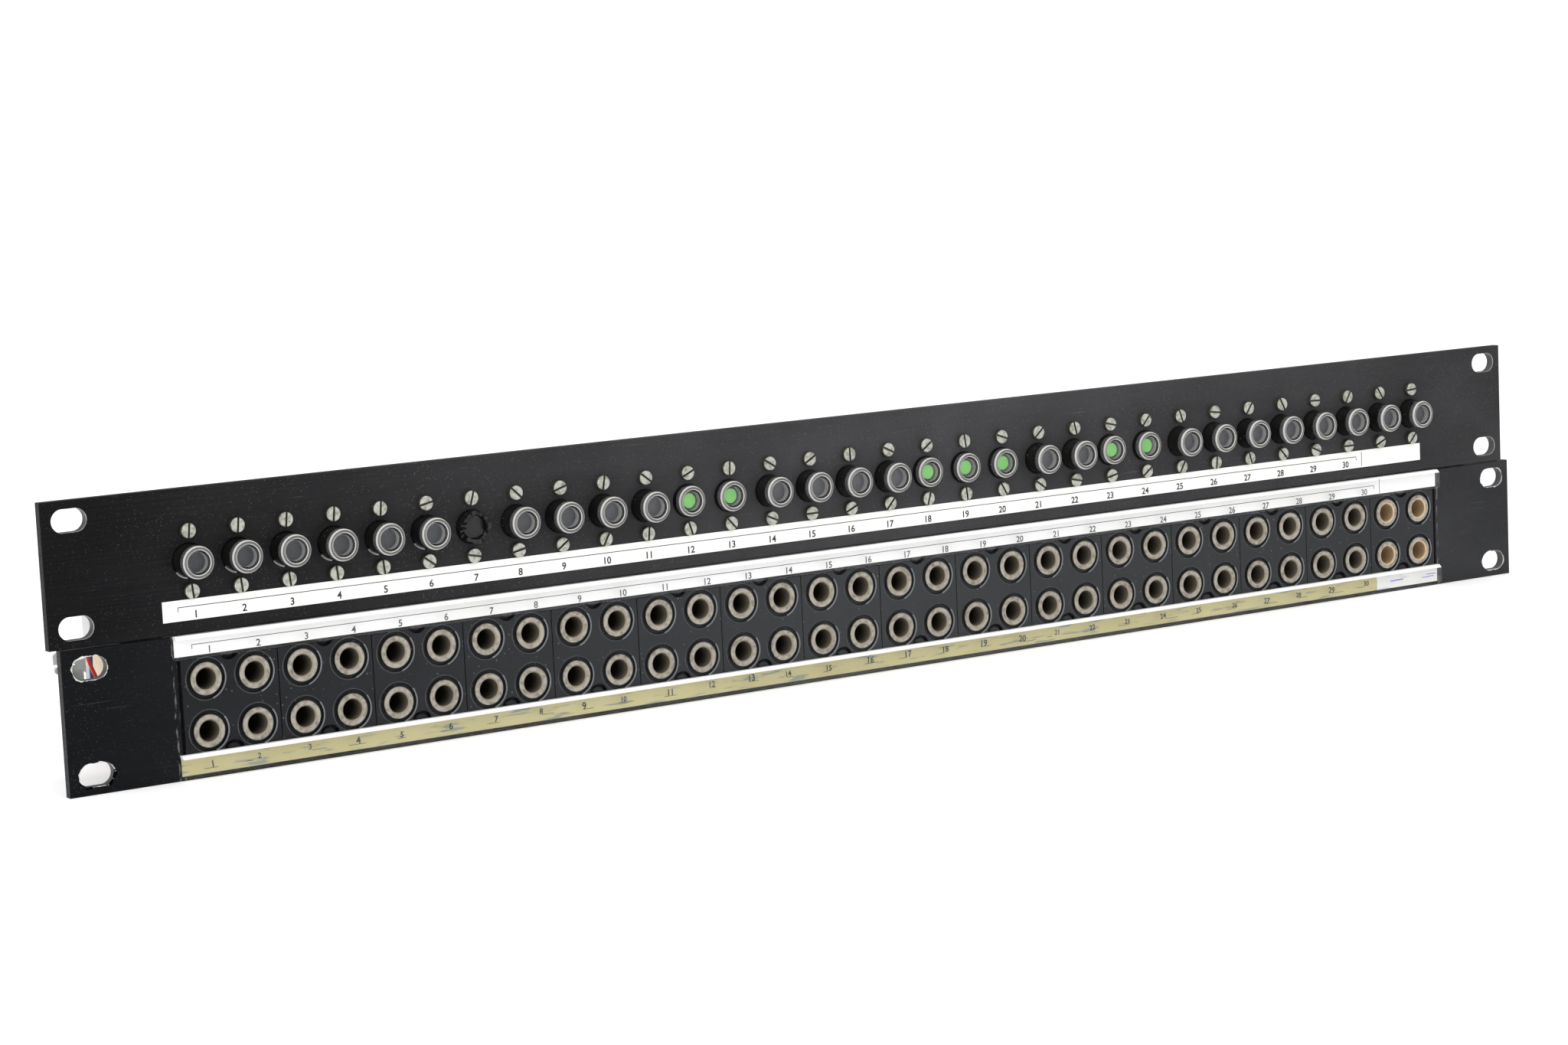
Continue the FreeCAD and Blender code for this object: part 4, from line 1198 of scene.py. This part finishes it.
@dataclass
class Strips:
    """The label under the buttons and the two card holders of the jack panel, with their print."""

    numbers: int = 30
    label_pitch: float = 15.805 * MM
    holder_pitch: float = 15.95 * MM
    digit: float = 2.2 * MM
    holder_digit: float = 0.95
    label_drop: float = 1.55 * MM
    holder_drop: float = 1.2 * MM
    rule: float = 0.22 * MM
    tick: float = 1.3 * MM
    label_first: float = -248.9 * MM
    holder_first: float = -246.4 * MM
    written_first: float = -247.3 * MM
    rule_start: float = 4.8 * MM
    rule_short: float = 2.7 * MM
    label_cut: float = 217.3 * MM
    holder_cut: float = 223.6 * MM
    blank_from: float = 223.4 * MM
    blue_marks: int = 7
    seed: int = 7

    def ruled(self, print_: Lettering, node: str, start: float, cut: float, z: float) -> None:
        """The long bracket line over the numbers, and the cut after them.

        Args:
            print_: the lettering that takes the lines.
            node: the strip.
            start: where the line starts.
            cut: where the strip is cut.
            z: the line's height.
        """
        low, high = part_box(node)
        end = cut - self.rule_short
        print_.line(start, end, z - self.rule / 2, z + self.rule / 2)
        for x in (start, end):
            print_.line(x, x + self.rule, z - self.tick, z)
        print_.line(cut, cut + self.rule, low.z + 0.5 * MM, high.z - 0.5 * MM)

    def label(self) -> None:
        """Numbers 1 to 30 on the white label under the buttons."""
        low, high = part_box("upper_label_strip")
        print_ = Lettering("label_print", Finish.INK, low.y)
        middle = (low.z + high.z) / 2
        for index in range(self.numbers):
            x = self.label_first + index * self.label_pitch
            print_.number(str(index + 1), x, middle - self.label_drop, self.digit)
        self.ruled(print_, "upper_label_strip", low.x + self.rule_start, self.label_cut, middle + 1.0 * MM)
        print_.build("label_white")

    def upper_card(self) -> None:
        """Numbers 1 to 30 on the white card."""
        low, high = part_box("upper_card_holder")
        print_ = Lettering("upper_card_print", Finish.FAINT_INK, low.y)
        middle = (low.z + high.z) / 2
        for index in range(self.numbers):
            x = self.holder_first + index * self.holder_pitch
            print_.number(str(index + 1), x, middle - self.holder_drop, self.digit * self.holder_digit)
        self.ruled(print_, "upper_card_holder", low.x + self.rule_start, self.holder_cut, middle + 0.9 * MM)
        print_.build("card")

    def lower_card(self) -> None:
        """Uneven pen numbers and rules on the aged card, and blue pen marks on the blank one."""
        low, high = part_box("lower_card_holder")
        middle = (low.z + high.z) / 2
        pen = Lettering("lower_card_writing", Finish.PEN, low.y)
        chance = random.Random(self.seed)
        for index in range(self.numbers):
            x = self.written_first + index * self.holder_pitch + chance.uniform(-1.2, 1.2) * MM
            z = middle + chance.uniform(0.0, 0.9) * MM
            height, lean = self.digit * chance.uniform(0.75, 1.0), chance.uniform(-0.12, 0.12)
            pen.number(str(index + 1), x, z, height, lean)
            width = chance.uniform(2.0, 6.5) * MM
            start = x + chance.uniform(-5.0, 1.0) * MM
            pen.line(start, start + width, z - 1.1 * MM, z - 0.95 * MM)
        pen.build("card")
        blue = Lettering("blank_card_writing", Finish.BLUE_PEN, low.y)
        for _ in range(self.blue_marks):
            start = high.x - chance.uniform(6.0, 27.0) * MM
            z = middle + chance.uniform(-0.8, 1.3) * MM
            blue.line(start, start + chance.uniform(1.5, 5.0) * MM, z, z + chance.uniform(0.1, 0.3) * MM)
        blue.build("card")

    def build(self) -> None:
        """Dress the strips and print on them."""
        dress("upper_label_strip", Finish.LABEL)
        dress("upper_card_holder", Finish.STRIP)
        dress("lower_card_holder", Finish.STRIP)
        cards = dress("designation_cards", Finish.WHITE_CARD)
        cards.data.materials.append(Finish.AGED_CARD.material())
        cards.data.materials.append(Finish.BLANK_CARD.material())
        for face in cards.data.polygons:
            if face.center.z < 0:
                face.material_index = 2 if face.center.x > self.blank_from else 1
        self.label()
        self.upper_card()
        self.lower_card()


# ---------------------------------------------------------------- wires

@dataclass
class LinkWire:
    """An insulated wire that is held at both its ends."""

    name: str
    node: str
    slot: str
    finish: Finish
    length: float
    route: Sequence[Point]
    diameter: float = 1.2 * MM

    def build(self) -> None:
        """Lay the wire as one smooth curve along its route."""
        curve = bpy.data.curves.new(self.name, "CURVE")
        curve.dimensions = "3D"
        spline = curve.splines.new("NURBS")
        spline.points.add(len(self.route) - 1)
        for point, (x, y, z) in zip(spline.points, self.route):
            point.co = (x * MM, y * MM, z * MM, 1.0)
        spline.order_u = 3
        spline.use_endpoint_u = True
        curve.resolution_u = 10
        curve.bevel_depth = self.diameter / 2
        curve.bevel_resolution = 3
        curve.use_fill_caps = True
        curve.materials.append(self.finish.material())
        wire = bpy.data.objects.new(self.name, curve)
        bpy.context.scene.collection.objects.link(wire)
        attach(wire, ROOT)
        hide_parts(self.node)
        LOG.info("laid %s", self.name)


def link_wires() -> list[LinkWire]:
    """The red and the blue wire, from the first switch to the terminal board.

    Returns:
        Both wires.
    """
    red = [(-256.062, 37.9, 48.05), (-254.863, 43.7, 46.55), (-254.6, 46.0, 31.0), (-257.2, 45.6, 21.5),
           (-262.5, 45.0, 18.8), (-272.3, 34.0, 17.8), (-268.0, 27.5, 2.0), (-266.2, 33.0, -4.75)]
    blue = [(-256.062, 37.9, 44.05), (-256.962, 46.5, 42.05), (-256.8, 49.0, 29.0), (-257.4, 47.6, 20.5),
            (-262.5, 46.8, 16.6), (-268.4, 36.5, 16.9), (-270.6, 31.0, 1.0), (-266.2, 33.0, -10.0)]
    return [LinkWire("red_link_wire", "red_wire", "red_insulation", Finish.RED, 0.0746, red),
            LinkWire("blue_link_wire", "blue_wire", "blue_insulation", Finish.BLUE, 0.0743, blue)]


# ---------------------------------------------------------------- the rest

LINK_WING_X = -270.0 * MM
LINK_SHEET_THICKNESS = 1.21 * MM


def dress_structure() -> None:
    """Give every CAD node that stays its finish."""
    finishes = {
        "upper_panel": Finish.UPPER_PANEL, "lower_panel": Finish.LOWER_PANEL,
        "switch_bodies": Finish.SWITCH_CASE, "switch_bases": Finish.BASE, "switch_terminals": Finish.CONTACT,
        "indicator_posts": Finish.POST, "switch_springs": Finish.STEEL_WIRE, "switch_screws": Finish.SCREW,
        "jack_housings": Finish.HOUSING, "jack_rear_blocks": Finish.BASE, "jack_sleeves": Finish.SLEEVE,
        "tip_springs": Finish.CONTACT, "ring_springs": Finish.CONTACT, "normal_contacts": Finish.CONTACT,
        "module_screws": Finish.HOUSING, "module_inserts": Finish.CONTACT, "end_brackets": Finish.SHEET,
        "bracket_fasteners": Finish.ZINC, "lacing_bar": Finish.SHEET, "link_bracket": Finish.LINK_SHEET,
        "terminal_board": Finish.LAMINATE, "cable_clip": Finish.NYLON,
    }
    for node, finish in finishes.items():
        dress(node, finish)
    pad_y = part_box("link_bracket")[0].y + LINK_SHEET_THICKNESS
    bracket = frame["nodes"]["link_bracket"]
    bracket.data.materials.append(Finish.SWITCH_CASE.material())
    for face in bracket.data.polygons:
        if face.center.x < LINK_WING_X and face.center.y > pad_y:
            face.material_index = 1


@dataclass
class Studio:
    """The pale floor, the soft lights and the camera."""

    floor_size: float = 120.0
    camera_place: Point = (-0.6688, -0.9675, 0.1765)
    camera_forward: Point = (0.5418, 0.8314, -0.1234)
    camera_roll: float = -2.63
    lens: float = 80.88
    sensor: float = 36.0
    room_white: float = 1.06
    room_mirrored: float = 0.45
    paper_glow: float = 0.12

    def floor(self) -> None:
        """A plain pale floor under the object."""
        deselect()
        bpy.ops.mesh.primitive_plane_add(size=self.floor_size, location=(0, 2.0, cad_box[0].z - 0.02 * MM))
        floor = bpy.context.view_layer.objects.active
        floor.name = "floor"
        paint = Paint("floor_paper")
        tone = paint.noise(3.0, 3.0)
        paint.put(Base_Color=paint.blend(tone, (0.93, 0.93, 0.945), (0.94, 0.94, 0.955)), Roughness=0.9,
                  Emission_Color=(1.0, 1.0, 1.0), Emission_Strength=self.paper_glow)
        floor.data.materials.append(paint.material)

    def softbox(self, name: str, place: Point, aim: Point, size: tuple[float, float], watts: float) -> None:
        """A large rectangular light that faces a point.

        Args:
            name: the light's name.
            place: where it is.
            aim: the point it faces.
            size: its width and height.
            watts: its power.
        """
        light = bpy.data.lights.new(name, "AREA")
        light.shape, light.size, light.size_y, light.energy = "RECTANGLE", size[0], size[1], watts
        lamp = bpy.data.objects.new(name, light)
        lamp.location = place
        lamp.rotation_mode = "QUATERNION"
        lamp.rotation_quaternion = (Vector(aim) - Vector(place)).to_track_quat("-Z", "Y")
        bpy.context.scene.collection.objects.link(lamp)

    def lights(self) -> None:
        """Soft light from above, the left and the front, in a white room."""
        world = bpy.data.worlds.new("white_room")
        bpy.context.scene.world = world
        world.use_nodes = True
        tree = world.node_tree
        background = tree.nodes["Background"]
        background.inputs["Color"].default_value = (1.0, 1.0, 1.0, 1.0)
        ray = tree.nodes.new("ShaderNodeLightPath")
        strength = tree.nodes.new("ShaderNodeMapRange")
        strength.inputs["To Min"].default_value = self.room_white
        strength.inputs["To Max"].default_value = self.room_mirrored
        tree.links.new(ray.outputs["Is Glossy Ray"], strength.inputs["Value"])
        tree.links.new(strength.outputs[0], background.inputs["Strength"])
        self.softbox("overhead", (-0.1, -0.35, 1.4), (0, 0, 0), (2.2, 1.2), 9.0)
        self.softbox("left_side", (-1.7, -0.5, 0.7), (0, 0, 0), (1.2, 1.2), 5.0)
        self.softbox("front_fill", (0.5, -2.0, 0.6), (0, 0, 0.02), (1.6, 1.0), 2.0)
        bpy.context.scene.view_settings.view_transform = "Standard"

    def camera(self) -> None:
        """The camera, turned slightly about its own axis."""
        forward = Vector(self.camera_forward).normalized()
        level = forward.cross(Vector((0, 0, 1))).normalized()
        upright = level.cross(forward)
        roll = math.radians(self.camera_roll)
        right = level * math.cos(roll) + upright * math.sin(roll)
        up = right.cross(forward)
        data = bpy.data.cameras.new("camera")
        data.lens, data.sensor_width = self.lens, self.sensor
        camera = bpy.data.objects.new("camera", data)
        turn = Matrix((right, up, -forward)).transposed().to_4x4()
        camera.matrix_world = Matrix.Translation(self.camera_place) @ turn
        bpy.context.scene.collection.objects.link(camera)
        bpy.context.scene.camera = camera

    def build(self) -> None:
        """Build the studio."""
        self.camera()
        self.floor()
        self.lights()


def main() -> None:
    """Build the studio, dress the CAD nodes and build the new pieces."""
    logging.basicConfig(level=logging.INFO, format="%(message)s")
    Studio().build()
    for wire in link_wires():
        wire.build()
    dress_structure()
    Strips().build()
    Buttons().build()
    Rims().build()


if __name__ == "__main__":
    main()
